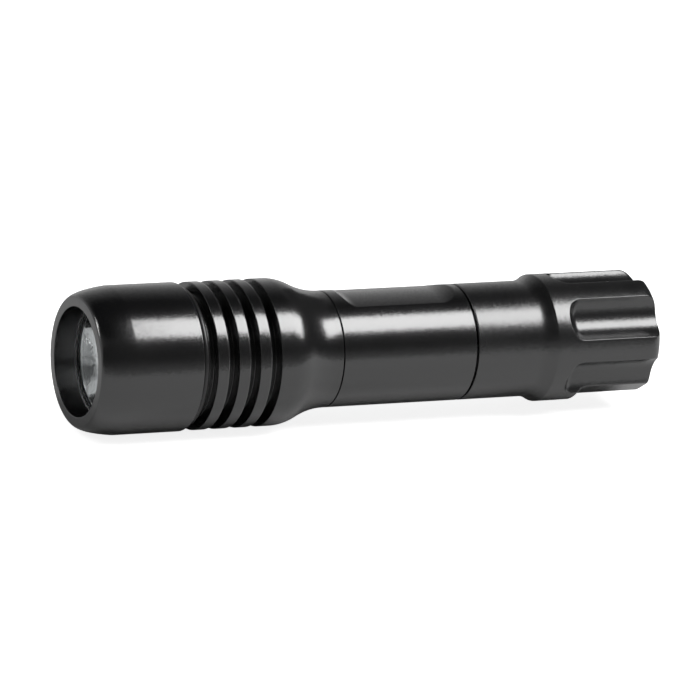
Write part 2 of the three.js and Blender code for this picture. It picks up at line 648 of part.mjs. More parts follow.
place('bezel', bezel(), BLACK_ANODISED);
place('bezel_o_ring', sealRing(
  bezelSealFront,
  bezelSealFront + BEZEL_SEAL_SECTION,
  bezelSealInner,
  bezelSealInner + BEZEL_SEAL_SECTION,
), BLACK_RUBBER);
place('front_lens', lens(), CLEAR_GLASS);
place('lens_o_ring', sealRing(
  LENS_RING_FRONT,
  LENS_RING_FRONT + LENS_RING_HEIGHT,
  lensRingInner,
  lensRingInner + LENS_RING_WIDTH,
), BLACK_RUBBER);
place('reflector', reflector(), PLATED_REFLECTOR);
place('led_gasket', ledGasket(), WHITE_PLASTIC);
place('led_emitter', ledEmitter(), EMITTER_YELLOW);
place('led_board', cylinder(
  LED_BOARD_FRONT,
  LED_BOARD_FRONT + LED_BOARD_THICKNESS,
  LED_BOARD_RADIUS,
  SMALL_SIDES,
), WHITE_BOARD);
place('lead_positive', lead(1), RED_INSULATION);
place('lead_negative', lead(-1), BLACK_INSULATION);
place('led_carrier', ledCarrier(), BRASS);
place('driver_board', cylinder(DRIVER_FRONT, DRIVER_BACK, driverRadius, SMALL_SIDES), GREEN_BOARD);
place('driver_inductor', cylinder(
  DRIVER_FRONT - FACE_GAP - INDUCTOR_HEIGHT,
  DRIVER_FRONT - FACE_GAP,
  INDUCTOR_RADIUS,
  SMALL_SIDES,
), FERRITE);
place('driver_ring', ring(
  DRIVER_BACK + FACE_GAP,
  DRIVER_BACK + FACE_GAP + DRIVER_RING_LENGTH,
  driverRadius - DRIVER_RING_WIDTH,
  driverRadius,
  SMALL_SIDES,
), BRASS);
place('driver_spring', coilSpring('driver_spring', driverCoil, DRIVER_SPRING_WIRE), SPRING_STEEL);
place('head_housing', headHousing(), BLACK_ANODISED);
place('head_o_ring_front', spigotSeal(HEAD_SEALS[1]), BLACK_RUBBER);
place('head_o_ring_rear', spigotSeal(HEAD_SEALS[0]), BLACK_RUBBER);
place('body_tube', bodyTube(), BLACK_ANODISED);
place('cell_can', cellCan(), CELL_WRAP);
place('cell_button', cylinder(
  BUTTON_FRONT,
  BUTTON_FRONT + BUTTON_HEIGHT,
  BUTTON_RADIUS,
  SMALL_SIDES,
), SPRING_STEEL);
place('cell_insulator', ring(
  CELL_FRONT - FACE_GAP - INSULATOR_THICKNESS,
  CELL_FRONT - FACE_GAP,
  insulatorInner,
  INSULATOR_RADIUS,
  SMALL_SIDES,
), WHITE_PLASTIC);
place('tail_o_ring_front', spigotSeal(TAIL_SEALS[0]), BLACK_RUBBER);
place('tail_o_ring_rear', spigotSeal(TAIL_SEALS[1]), BLACK_RUBBER);
place('tail_spring', coilSpring('tail_spring', tailCoil, TAIL_SPRING_WIRE), SPRING_STEEL);
place('spring_plate', cylinder(
  PLATE_FRONT,
  PLATE_FRONT + PLATE_THICKNESS,
  plateRadius,
  SMALL_SIDES,
), BRASS);
place('plate_ring', ring(
  PLATE_FRONT - FACE_GAP - PLATE_RING_LENGTH,
  PLATE_FRONT - FACE_GAP,
  plateRadius - PLATE_RING_WIDTH,
  plateRadius,
  SMALL_SIDES,
), BRASS);
place('tail_cap', tailCap(), BLACK_ANODISED);

// The stations start at the lip, so the whole torch is moved forward until its tail is at the origin
torch.position.x = -LENGTH;

export default torch;
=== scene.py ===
import math

import bmesh
import bpy
import numpy as np
from mathutils import Matrix, Vector


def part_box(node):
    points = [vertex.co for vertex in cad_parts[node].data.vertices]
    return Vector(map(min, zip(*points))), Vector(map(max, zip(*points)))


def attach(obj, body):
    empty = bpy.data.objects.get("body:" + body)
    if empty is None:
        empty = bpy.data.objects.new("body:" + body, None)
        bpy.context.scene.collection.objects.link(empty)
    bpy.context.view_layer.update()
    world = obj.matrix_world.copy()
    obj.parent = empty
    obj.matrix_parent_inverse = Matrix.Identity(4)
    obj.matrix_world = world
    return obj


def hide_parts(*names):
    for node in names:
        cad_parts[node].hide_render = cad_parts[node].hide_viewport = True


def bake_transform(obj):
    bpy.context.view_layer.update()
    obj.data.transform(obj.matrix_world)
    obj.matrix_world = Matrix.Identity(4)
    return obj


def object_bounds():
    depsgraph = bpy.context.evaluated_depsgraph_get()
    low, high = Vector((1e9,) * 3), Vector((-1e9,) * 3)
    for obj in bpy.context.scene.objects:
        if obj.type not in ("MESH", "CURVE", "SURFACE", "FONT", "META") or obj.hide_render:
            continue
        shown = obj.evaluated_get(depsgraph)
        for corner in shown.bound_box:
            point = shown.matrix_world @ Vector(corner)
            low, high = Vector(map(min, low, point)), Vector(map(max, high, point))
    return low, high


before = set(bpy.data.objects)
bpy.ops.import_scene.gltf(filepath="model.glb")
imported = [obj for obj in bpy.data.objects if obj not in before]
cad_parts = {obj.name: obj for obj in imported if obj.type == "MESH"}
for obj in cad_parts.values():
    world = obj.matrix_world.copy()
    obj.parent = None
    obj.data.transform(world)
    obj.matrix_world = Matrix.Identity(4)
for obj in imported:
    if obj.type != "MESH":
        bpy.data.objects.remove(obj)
cad_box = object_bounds()


# Body tube: aluminium bar, bored for the cell and turned down to a threaded spigot at each end.
# Its crowned flat is turned on an offset axis, then the tube is bead-blasted and anodised black.
# It carries everything else: the head is locked on its front and the cap screws on its back.
MM = 0.001
BORE = 9.6
SPIGOT = 11.5
SEAL_FLOOR = 10.25
SEAL_GROOVE = 2.1
PARTING = 0.3
SWITCH_GAP = 0.6
EDGE_ROUND = 0.28
INNER_ROUND = 0.12
PARTING_ROUND = 0.1
ROUND_STEPS = 4
ROUND_HOLD = 0.3
FLAT_DEPTH = 0.84
FLAT_CROWN = 28.6
FLAT_SETBACK = 5.25
FLAT_LENGTH = 21
FLAT_RUN_OUTS = 4.5, 13
FLAT_EDGE = 0.04
FLAT_HALF_ANGLE = 29
FLAT_LINE_STEP = 0.5
TUBE_LINE_STEP = 3
SLEEVE_STEP = 0.16
THREAD_PITCH = 1.0
THREAD_DEPTH = 0.5
THREAD_MARGIN = 0.9
THREAD_FLANK = 1.3
THREAD_CREST = 0.15
FULL_TURN = 360
ROUND_SIDES = 128
MERGE_DISTANCE = 1e-7
GRAIN_SCALE = 4600
SATIN_ROUGHNESS = 0.19
SATIN_TILT = 0.05
ROUGHNESS_DRIFT = 0.07
EDGE_RUB = 0.2
OXIDE_IOR = 1.8
DYED = (0.0035, 0.0036, 0.004), (0.006, 0.006, 0.0062)
RUBBED = 0.09, 0.09, 0.095


def span(cad_node):
    """Front, back and radius of a CAD node, in millimetres along and about the torch's axis."""
    low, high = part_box(cad_node)
    return low.x / MM, high.x / MM, high.y / MM


def rounded(corners):
    """An outline with a round at each corner (x, radius, round); convex rounds are marked as edges."""
    points = [Vector(corner[:2]) for corner in corners]
    loop = list(zip(points, points[1:] + points[:1]))
    turning = math.copysign(1, sum(a.cross(b) for a, b in loop))
    outline = []
    for index, (here, corner) in enumerate(zip(points, corners)):
        size = corner[2] if len(corner) > 2 else 0
        if not size:
            outline.append((here.x, here.y, 0))
            continue
        before = (points[index - 1] - here).normalized()
        after = (points[(index + 1) % len(points)] - here).normalized()
        half = math.acos(max(-1, min(1, before.dot(after)))) / 2
        middle = here + (before + after).normalized() * size / math.sin(half)
        reach = size / math.tan(half)
        hold = ROUND_HOLD * size
        start = here + before * reach - middle
        sweep = math.copysign(math.pi - 2 * half, start.cross(here + after * reach - middle))
        convex = 1 if -before.cross(after) * turning > 0 else 0
        outline.append((*(here + before * (reach + hold)), 0))
        for step in range(ROUND_STEPS + 1):
            turned_start = Matrix.Rotation(sweep * step / ROUND_STEPS, 2) @ start
            outline.append((*(middle + turned_start), convex))
        outline.append((*(here + after * (reach + hold)), 0))
    return outline


def divided(outline, front, back, longest):
    """The same outline, with its stretches between two stations cut into short ones."""
    fine = []
    for here, there in zip(outline, outline[1:] + outline[:1]):
        fine.append(here)
        low, high = sorted((here[0], there[0]))
        inside = front - INNER_ROUND < low and high < back + INNER_ROUND
        parts = math.ceil(math.dist(here[:2], there[:2]) / longest) if inside else 1
        for part in range(1, parts):
            share = part / parts
            fine.append(tuple(a + (b - a) * share for a, b in zip(here, there)))
    return fine


def turn_lines(coarse, *windows):
    """Angles of the lines along a turned mesh, finer in each window (middle, half width, step)."""
    def outside(angle):
        gaps = [(abs((angle - middle + 180) % FULL_TURN - 180), half) for middle, half, step in windows]
        return all(gap > half + coarse / 3 for gap, half in gaps)

    lines = [angle for angle in np.arange(0, FULL_TURN, coarse) if outside(angle)]
    for middle, half, step in windows:
        lines.extend((middle + np.linspace(-half, half, round(2 * half / step) + 1)) % FULL_TURN)
    return np.sort(lines)


ROUND_LINES = turn_lines(FULL_TURN / ROUND_SIDES)


def soft_minimum(first, second, width):
    """The lesser of two radii, with the edge between them rounded over a width."""
    near = np.clip(1 - np.abs(first - second) / width, 0, None)
    return np.minimum(first, second) - near**2 * width / 4


def turned(name, outline, lines=ROUND_LINES, cuts=None):
    """A closed mesh turned about X from an outline; cuts(x, radius, angle) lower its radius."""
    x, radius, edge = (np.array(column)[:, None] for column in zip(*outline))
    angle = np.radians(lines)[None, :]
    if cuts:
        radius = cuts(x, radius, angle)
    y = radius * np.sin(angle)
    z = radius * np.cos(angle)
    x = np.broadcast_to(x, y.shape)
    edge = np.broadcast_to(edge, y.shape)
    rows, columns = y.shape
    index = np.arange(rows * columns).reshape(rows, columns)
    if outline[0][1] > 0:
        index = np.vstack([index, index[:1]])
    index = np.hstack([index, index[:, :1]])
    faces = np.stack([index[:-1, :-1], index[1:, :-1], index[1:, 1:], index[:-1, 1:]], -1)
    mesh = bpy.data.meshes.new(name)
    mesh.from_pydata((np.stack([x, y, z], -1) * MM).reshape(-1, 3), [], faces.reshape(-1, 4).tolist())
    mesh.attributes.new("edge", "FLOAT", "POINT").data.foreach_set("value", edge.ravel())
    body = bmesh.new()
    body.from_mesh(mesh)
    bmesh.ops.remove_doubles(body, verts=body.verts, dist=MERGE_DISTANCE)
    bmesh.ops.recalc_face_normals(body, faces=body.faces)
    body.to_mesh(mesh)
    body.free()
    mesh.shade_smooth()
    piece = bpy.data.objects.new(name, mesh)
    bpy.context.scene.collection.objects.link(piece)
    return piece


def dress(piece, material, body, slot, *nodes):
    """Gives a piece its finish, seats it on its body and lets it stand for its CAD nodes."""
    piece.data.materials.clear()
    piece.data.materials.append(material)
    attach(piece, body)
    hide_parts(*nodes)


def thread(front, back, crest):
    """A cut for a right-handed thread on a spigot, fading out at both ends of its stretch."""
    def cut(x, radius, angle):
        phase = ((x - front) / THREAD_PITCH + angle / (2 * math.pi)) % 1
        flank = np.clip(np.abs(2 * phase - 1) * THREAD_FLANK - THREAD_CREST, 0, 1)
        fade = np.clip((x - front) / THREAD_PITCH, 0, 1) * np.clip((back - x) / THREAD_PITCH, 0, 1)
        return np.minimum(radius, np.where(fade > 0, crest - THREAD_DEPTH * flank * fade, radius))

    return cut


def crowned_flat(front, back, height, crown, run_outs, width, middle_angle=0):
    """A cut that leaves a flat of a crown radius at a height, with a round run-out at each end."""
    def cut(x, radius, angle):
        beyond = np.maximum(np.maximum(front - x, x - back), 0)
        run_out = np.where(x < front, run_outs[0], run_outs[1])
        rise = run_out - np.sqrt(np.maximum(run_out**2 - beyond**2, 0))
        offset = crown - height
        off_middle = angle - middle_angle
        sideways = offset * np.sin(off_middle)
        reach = np.sqrt((crown + rise)**2 - sideways**2) - offset * np.cos(off_middle)
        return soft_minimum(radius, np.where(beyond < run_out, reach, np.inf), width)

    return cut


def seal_groove(seal):
    """The corners of the groove that an O-ring lies in."""
    front, back = span(seal)[:2]
    middle = (front + back) / 2
    groove_front, groove_back = middle - SEAL_GROOVE / 2, middle + SEAL_GROOVE / 2
    return [
        (groove_front, SPIGOT, INNER_ROUND),
        (groove_front, SEAL_FLOOR, INNER_ROUND),
        (groove_back, SEAL_FLOOR, INNER_ROUND),
        (groove_back, SPIGOT, INNER_ROUND),
    ]


def plug(tree, socket, value):
    """Sets a socket to a plain value or an opaque colour, or joins another node's output to it."""
    if isinstance(value, bpy.types.NodeSocket):
        tree.links.new(value, socket)
    elif socket.type == "RGBA":
        socket.default_value = (*value, 1)
    else:
        socket.default_value = value


def node(tree, kind, settings=None, **inputs):
    """A new node with its settings, and its inputs plugged by name with _ for a space."""
    made = tree.nodes.new(kind)
    for key, value in (settings or {}).items():
        setattr(made, key, value)
    for key, value in inputs.items():
        plug(tree, made.inputs[key.replace("_", " ")], value)
    return made


def reckoned(tree, operation, *values, kind="ShaderNodeMath", result="Value"):
    """The result of a math node on its values."""
    made = node(tree, kind, {"operation": operation})
    for socket, value in zip(made.inputs, values):
        plug(tree, socket, value)
    return made.outputs[result]


def vectored(tree, operation, *values, result="Vector"):
    """The result of a math node on its vectors."""
    return reckoned(tree, operation, *values, kind="ShaderNodeVectorMath", result=result)


def placed(tree):
    """The place on the piece."""
    return node(tree, "ShaderNodeTexCoord").outputs["Object"]


def noise(tree, scale, detail=3):
    """A soft noise over the piece."""
    soft = node(tree, "ShaderNodeTexNoise", Vector=placed(tree), Scale=scale, Detail=detail)
    return soft.outputs["Fac"]


def group(name, inputs, outputs):
    """A new shader group with named sockets: its tree, what it is given and what it gives."""
    tree = bpy.data.node_groups.new(name, "ShaderNodeTree")
    for key, value in inputs.items():
        socket = tree.interface.new_socket(key, in_out="INPUT", socket_type="NodeSocketFloat")
        socket.default_value = value
    for key in outputs:
        kind = "NodeSocketVector" if key == "Normal" else "NodeSocketFloat"
        tree.interface.new_socket(key, in_out="OUTPUT", socket_type=kind)
    return tree, tree.nodes.new("NodeGroupInput").outputs, tree.nodes.new("NodeGroupOutput").inputs


def blasted_grain_group():
    """The small facets that blasting leaves, each tilted its own way, and a slow drift of tone."""
    inputs = {"Grain Scale": GRAIN_SCALE, "Tilt": SATIN_TILT}
    tree, given, gives = group("blasted_grain", inputs, ["Normal", "Tone"])
    facets = node(tree, "ShaderNodeTexVoronoi", Vector=placed(tree), Scale=given["Grain Scale"])
    centred = vectored(tree, "SUBTRACT", facets.outputs["Color"], (0.5, 0.5, 0.5))
    scaled = {"operation": "SCALE"}
    lean = node(tree, "ShaderNodeVectorMath", scaled, Vector=centred, Scale=given["Tilt"])
    surface = node(tree, "ShaderNodeNewGeometry").outputs["Normal"]
    leaning = vectored(tree, "ADD", surface, lean.outputs["Vector"])
    plug(tree, gives["Normal"], vectored(tree, "NORMALIZE", leaning))
    plug(tree, gives["Tone"], noise(tree, scale=90))
    return tree


def rubbed_edge_group():
    """Edges that handling has polished: the marked rounds of a turned piece, broken up by noise."""
    tree, given, gives = group("rubbed_edge", {"Amount": EDGE_RUB}, ["Mask"])
    marked = node(tree, "ShaderNodeAttribute", {"attribute_name": "edge"}).outputs["Fac"]
    broken = noise(tree, scale=420)
    patches = node(tree, "ShaderNodeMapRange", Value=broken, From_Min=0.42, From_Max=0.7)
    both = reckoned(tree, "MULTIPLY", marked, patches.outputs["Result"])
    plug(tree, gives["Mask"], reckoned(tree, "MULTIPLY", both, given["Amount"]))
    return tree


BLASTED_GRAIN = blasted_grain_group()
RUBBED_EDGE = rubbed_edge_group()


def bare_material(name):
    """A new material and its empty tree."""
    material = bpy.data.materials.new(name)
    material.use_nodes = True
    material.node_tree.nodes.clear()
    return material, material.node_tree


def finish(name, **values):
    """A new material and its Principled shader, with plain values on the shader's own sockets."""
    material, tree = bare_material(name)
    shader = node(tree, "ShaderNodeBsdfPrincipled", **values)
    node(tree, "ShaderNodeOutputMaterial", Surface=shader.outputs["BSDF"])
    return material, tree, shader


def mixed(tree, factor, first, second):
    """A colour that goes from first to second with a factor."""
    mix = node(tree, "ShaderNodeMix", {"data_type": "RGBA"}, Factor=factor, A=first, B=second)
    return mix.outputs["Result"]


def ranged(tree, value, low, high):
    """A noise, whose values lie round a half, spread between two limits."""
    limits = {"From_Min": 0.3, "From_Max": 0.7, "To_Min": low, "To_Max": high}
    return node(tree, "ShaderNodeMapRange", Value=value, **limits).outputs["Result"]


def black_anodise(name, roughness, tilt):
    """Black dyed oxide over blasted aluminium: a dark body under a hard clear layer."""
    material, tree, shader = finish(name, IOR=OXIDE_IOR)
    blasted = {"node_tree": BLASTED_GRAIN}
    grain = node(tree, "ShaderNodeGroup", blasted, Grain_Scale=GRAIN_SCALE, Tilt=tilt).outputs
    worn = node(tree, "ShaderNodeGroup", {"node_tree": RUBBED_EDGE}, Amount=EDGE_RUB).outputs["Mask"]
    dyed = mixed(tree, grain["Tone"], *DYED)
    smoother, rougher = roughness * (1 - ROUGHNESS_DRIFT), roughness * (1 + ROUGHNESS_DRIFT)
    plug(tree, shader.inputs["Base Color"], mixed(tree, worn, dyed, RUBBED))
    plug(tree, shader.inputs["Roughness"], ranged(tree, grain["Tone"], smoother, rougher))
    plug(tree, shader.inputs["Normal"], grain["Normal"])
    return material


SATIN_BLACK = black_anodise("satin_black_anodise", SATIN_ROUGHNESS, SATIN_TILT)
tube_front, tube_back, tube_radius = span("body_tube")
head_front, head_back, head_radius = span("head_housing")
cap_front, cap_back, cap_radius = span("tail_cap")
sleeve_front = head_back + PARTING
sleeve_back = cap_front - SWITCH_GAP
thread_front = seal_groove("tail_o_ring_rear")[-1][0] + THREAD_MARGIN
thread_back = tube_back - THREAD_MARGIN / 2
tube_outline = rounded([
    (tube_front, BORE, INNER_ROUND),
    (tube_front, SPIGOT, EDGE_ROUND),
    *seal_groove("head_o_ring_front"),
    *seal_groove("head_o_ring_rear"),
    (sleeve_front, SPIGOT, INNER_ROUND),
    (sleeve_front, tube_radius, PARTING_ROUND),
    (sleeve_back, tube_radius, PARTING_ROUND),
    (sleeve_back, SPIGOT, INNER_ROUND),
    *seal_groove("tail_o_ring_front"),
    *seal_groove("tail_o_ring_rear"),
    (tube_back, SPIGOT, EDGE_ROUND),
    (tube_back, BORE, INNER_ROUND),
])
tube_thread = thread(thread_front, thread_back, SPIGOT)
flat_height = tube_radius - FLAT_DEPTH
flat_front = sleeve_front + FLAT_SETBACK
flat_back = flat_front + FLAT_LENGTH
tube_flat = crowned_flat(flat_front, flat_back, flat_height, FLAT_CROWN, FLAT_RUN_OUTS, FLAT_EDGE)
tube = turned(
    "threaded_tube",
    divided(tube_outline, sleeve_front, sleeve_back, SLEEVE_STEP),
    turn_lines(TUBE_LINE_STEP, (0, FLAT_HALF_ANGLE, FLAT_LINE_STEP)),
    lambda x, radius, angle: tube_flat(x, tube_thread(x, radius, angle), angle),
)
dress(tube, SATIN_BLACK, "barrel", "black_anodised", "body_tube")


# Head housing: turned from bar with a front spigot for the bezel, cooling rings and a smooth taper.
# It is screwed on the tube and locked there, and its rings carry the lamp's heat into the water.
HEAD_POCKET = 11.75
HEAD_SPIGOT = 14.0
OPEN_GROOVE = 3.28
RING_COUNT = 3
RING_WIDTH = 2.9
RING_PITCH = 5.11
RING_FLOOR = 13.42
RING_ROUND = 0.14
RING_BACK_ROUND = 0.5
BAND_WIDTH = 3.1
TAPER_LENGTH = 13.3
TAPER_SPLIT = 0.37
TAPER_STEPS = 24
SOCKET = 11.65
SHOULDER_LIP = 2.15
SHOULDER_THICKNESS = 1.0
SHOULDER_GAP = 0.1
BEZEL_THREAD_LENGTH = 7.5
HEAD_THREAD_STEP = 0.125


def smooth_step(front, length, start, end, split):
    """Points of a step that leaves level, is steepest at its split and arrives level."""
    points = []
    for step in range(TAPER_STEPS + 1):
        share = step / TAPER_STEPS
        if share < split:
            level = share**2 / split
        else:
            level = 1 - (1 - share)**2 / (1 - split)
        points.append((front + length * share, start + (end - start) * level))
    return points


bezel_front, bezel_back, bezel_radius = span("bezel")
carrier_front, carrier_back, carrier_radius = span("led_carrier")
rings_front = bezel_back + OPEN_GROOVE
band_front = rings_front + RING_COUNT * RING_PITCH
taper_front = band_front + BAND_WIDTH
shoulder_back = carrier_front - SHOULDER_GAP
shoulder_front = shoulder_back - SHOULDER_THICKNESS
ring_corners = []
for index in range(RING_COUNT):
    ring_front = rings_front + index * RING_PITCH
    ring_back = ring_front + RING_WIDTH
    ring_corners += [
        (ring_front, HEAD_SPIGOT if index == 0 else RING_FLOOR, RING_ROUND),
        (ring_front, head_radius, RING_ROUND),
        (ring_back, head_radius, RING_BACK_ROUND),
        (ring_back, RING_FLOOR, RING_ROUND),
    ]
head_outline = rounded([
    (head_front, HEAD_POCKET, INNER_ROUND),
    (head_front, HEAD_SPIGOT, EDGE_ROUND),
    *ring_corners,
    (band_front, RING_FLOOR, RING_ROUND),
    (band_front, head_radius, RING_ROUND),
    *smooth_step(taper_front, TAPER_LENGTH, head_radius, tube_radius, TAPER_SPLIT),
    (head_back, tube_radius, PARTING_ROUND),
    (head_back, SOCKET, INNER_ROUND),
    (shoulder_back, SOCKET, INNER_ROUND),
    (shoulder_back, SOCKET - SHOULDER_LIP, INNER_ROUND),
    (shoulder_front, SOCKET - SHOULDER_LIP, INNER_ROUND),
    (shoulder_front, HEAD_POCKET, INNER_ROUND),
])
head = turned(
    "ringed_head",
    divided(head_outline, head_front, rings_front, HEAD_THREAD_STEP),
    cuts=thread(bezel_back - BEZEL_THREAD_LENGTH, bezel_back, HEAD_SPIGOT),
)
dress(head, SATIN_BLACK, "barrel", "black_anodised", "head_housing")


# O-rings: moulded nitrile cords of round section, lightly greased and squeezed in their grooves.
# Two sit on each spigot of the tube, one shows in the groove behind the bezel, one seals the lens.
SEAL_SQUEEZE = 0.16
SPIGOT_SEAL_HEIGHT = SOCKET - SEAL_FLOOR - SEAL_SQUEEZE
SEAL_HEIGHTS = {"bezel_o_ring": 1.6, "lens_o_ring": 1.3}
NITRILE = (0.006, 0.006, 0.006), (0.016, 0.016, 0.017)
SEAL_BODIES = {
    "head_o_ring_front": "barrel",
    "head_o_ring_rear": "barrel",
    "tail_o_ring_front": "barrel",
    "tail_o_ring_rear": "barrel",
    "bezel_o_ring": "barrel",
    "lens_o_ring": "lens_stack",
}


def path_tree(name, inputs):
    """A Geometry Nodes tree with named inputs, which ends by sweeping a section along a path."""
    tree = bpy.data.node_groups.new(name, "GeometryNodeTree")
    tree.interface.new_socket("Geometry", in_out="OUTPUT", socket_type="NodeSocketGeometry")
    for key, kind in (inputs | {"Material": "NodeSocketMaterial"}).items():
        tree.interface.new_socket(key, in_out="INPUT", socket_type=kind)
    given = tree.nodes.new("NodeGroupInput").outputs
    sweep = node(tree, "GeometryNodeCurveToMesh", Fill_Caps=True)
    smooth = node(tree, "GeometryNodeSetShadeSmooth", Geometry=sweep.outputs["Mesh"])
    realized = node(tree, "GeometryNodeRealizeInstances", Geometry=smooth.outputs["Geometry"])
    whole = realized.outputs["Geometry"]
    painted = node(tree, "GeometryNodeSetMaterial", Geometry=whole, Material=given["Material"])
    node(tree, "NodeGroupOutput", Geometry=painted.outputs["Geometry"])
    return tree, given, sweep.inputs


def about_x(tree, curve, station):
    """A curve drawn about Z, laid about X at a station."""
    shift = node(tree, "ShaderNodeCombineXYZ", X=station).outputs["Vector"]
    quarter = 0, math.pi / 2, 0
    laid = node(tree, "GeometryNodeTransform", Geometry=curve, Rotation=quarter, Translation=shift)
    return laid.outputs["Geometry"]


def ring(tree, sides, radius):
    """A circle, for a path or a section."""
    circle = node(tree, "GeometryNodeCurvePrimitiveCircle", Resolution=sides, Radius=radius)
    return circle.outputs["Curve"]


def seal_ring_tree():
    """An O-ring about X: a circle as the path, and a squeezed circle as the section."""
    names = ["Station", "Ring Radius", "Width", "Height"]
    tree, given, sweep = path_tree("seal_ring", dict.fromkeys(names, "NodeSocketFloat"))
    squeeze = node(tree, "ShaderNodeCombineXYZ", X=given["Height"], Y=given["Width"], Z=1)
    section = ring(tree, sides=16, radius=0.5)
    squeezed = node(tree, "GeometryNodeTransform", Geometry=section, Scale=squeeze.outputs["Vector"])
    path = ring(tree, sides=96, radius=given["Ring Radius"])
    plug(tree, sweep["Curve"], about_x(tree, path, given["Station"]))
    plug(tree, sweep["Profile Curve"], squeezed.outputs["Geometry"])
    return tree


def grown(name, tree, **sizes):
    """A plain mesh from a Geometry Nodes tree, with its named inputs set by their identifiers."""
    piece = bpy.data.objects.new(name, bpy.data.meshes.new(name))
    bpy.context.scene.collection.objects.link(piece)
    modifier = piece.modifiers.new(name, "NODES")
    modifier.node_group = tree
    for item in tree.interface.items_tree:
        key = item.name.replace(" ", "_").lower()
        if item.in_out == "INPUT" and key in sizes:
            modifier[item.identifier] = sizes[key]
    evaluated = piece.evaluated_get(bpy.context.evaluated_depsgraph_get())
    mesh = bpy.data.meshes.new_from_object(evaluated)
    piece.modifiers.remove(modifier)
    piece.data = mesh
    return piece


def toned(tree, shader, tone, dark, light, smooth, rough):
    """Lets a noise carry a shader's colour and roughness."""
    plug(tree, shader.inputs["Base Color"], mixed(tree, tone, dark, light))
    plug(tree, shader.inputs["Roughness"], ranged(tree, tone, smooth, rough))


def bumped(tree, shader, height, strength, distance):
    """Feeds a height into the shader's normal through a bump."""
    bump = node(tree, "ShaderNodeBump", Strength=strength, Distance=distance, Height=height)
    plug(tree, shader.inputs["Normal"], bump.outputs["Normal"])


def greased_rubber():
    """Black nitrile with a faint bloom and a film of grease."""
    material, tree, shader = finish("greased_rubber", IOR=1.52)
    bloom = noise(tree, scale=700, detail=4)
    toned(tree, shader, bloom, *NITRILE, smooth=0.28, rough=0.36)
    bumped(tree, shader, bloom, strength=0.2, distance=0.01 * MM)
    return material


SEAL_RING = seal_ring_tree()
GREASED_RUBBER = greased_rubber()
for seal, body in SEAL_BODIES.items():
    front, back, radius = span(seal)
    height = SEAL_HEIGHTS.get(seal, SPIGOT_SEAL_HEIGHT)
    seal_ring = grown(
        seal.replace("o_ring", "seal"),
        SEAL_RING,
        station=(front + back) / 2 * MM,
        ring_radius=(radius - height / 2) * MM,
        width=(back - front) * MM,
        height=height * MM,
        material=GREASED_RUBBER,
    )
    dress(seal_ring, GREASED_RUBBER, body, "seal_rubber", seal)


# LED carrier: a turned brass cup that sits in the neck of the head, drilled for the two leads.
# The lamp's board lies on its face and gives it its heat, and the driver is clamped in its back.
CARRIER_BORE = 9.7
CARRIER_FACE = 4.4
CARRIER_LEDGE = 0.85
DRIVER_DEPTH = 9.0
LEAD_OFFSET = 8.0
LEAD_HOLE = 0.75
LEAD_HOLE_SIDES = 24
BROKEN_EDGE = 0.15
BRASS = (0.64, 0.48, 0.21), (0.5, 0.36, 0.15)
SHARP_ANGLE = math.radians(40)


def opened(piece, *cutters):
    """A piece with holes where its cutters are, as a plain mesh; the cutters are used up."""
    for cutter in cutters:
        hole = piece.modifiers.new(cutter.name, "BOOLEAN")
        hole.operation = "DIFFERENCE"
        hole.solver = "EXACT"
        hole.object = cutter
    evaluated = piece.evaluated_get(bpy.context.evaluated_depsgraph_get())
    mesh = bpy.data.meshes.new_from_object(evaluated)
    piece.modifiers.clear()
    piece.data = mesh
    mesh.set_sharp_from_angle(angle=SHARP_ANGLE)
    for cutter in cutters:
        bpy.data.objects.remove(cutter)
    return piece


def turned_brass():
    """Brass with the fine rings of the turning tool, tarnished in patches."""
    material, tree, shader = finish("turned_brass", Metallic=1)
    along_axis = {"wave_type": "RINGS", "rings_direction": "X"}
    rings = node(tree, "ShaderNodeTexWave", along_axis, Vector=placed(tree), Scale=2000)
    tarnish = noise(tree, scale=220, detail=4)
    toned(tree, shader, tarnish, *BRASS, smooth=0.22, rough=0.38)
    bumped(tree, shader, rings.outputs["Fac"], strength=0.4, distance=0.01 * MM)
    return material


TURNED_BRASS = turned_brass()
face_back = carrier_front + CARRIER_FACE
ledge = carrier_front + DRIVER_DEPTH
carrier = turned("drilled_carrier", rounded([
    (carrier_front, 0),
    (carrier_front, carrier_radius, BROKEN_EDGE),
    (carrier_back, carrier_radius, BROKEN_EDGE),
    (carrier_back, CARRIER_BORE, BROKEN_EDGE),
    (ledge, CARRIER_BORE, BROKEN_EDGE),
    (ledge, CARRIER_BORE - CARRIER_LEDGE, BROKEN_EDGE),
    (face_back, CARRIER_BORE - CARRIER_LEDGE, BROKEN_EDGE),
    (face_back, 0),
]))
lead_holes = []
for side in (-1, 1):
    hole_front, hole_back = carrier_front - CARRIER_FACE, face_back + CARRIER_FACE
    hole = turned("lead_hole", rounded([
        (hole_front, 0),
        (hole_front, LEAD_HOLE),
        (hole_back, LEAD_HOLE),
        (hole_back, 0),
    ]), turn_lines(FULL_TURN / LEAD_HOLE_SIDES))
    hole.data.transform(Matrix.Translation((0, side * LEAD_OFFSET * MM, 0)))
    lead_holes.append(hole)
dress(opened(carrier, *lead_holes), TURNED_BRASS, "barrel", "brass", "led_carrier")


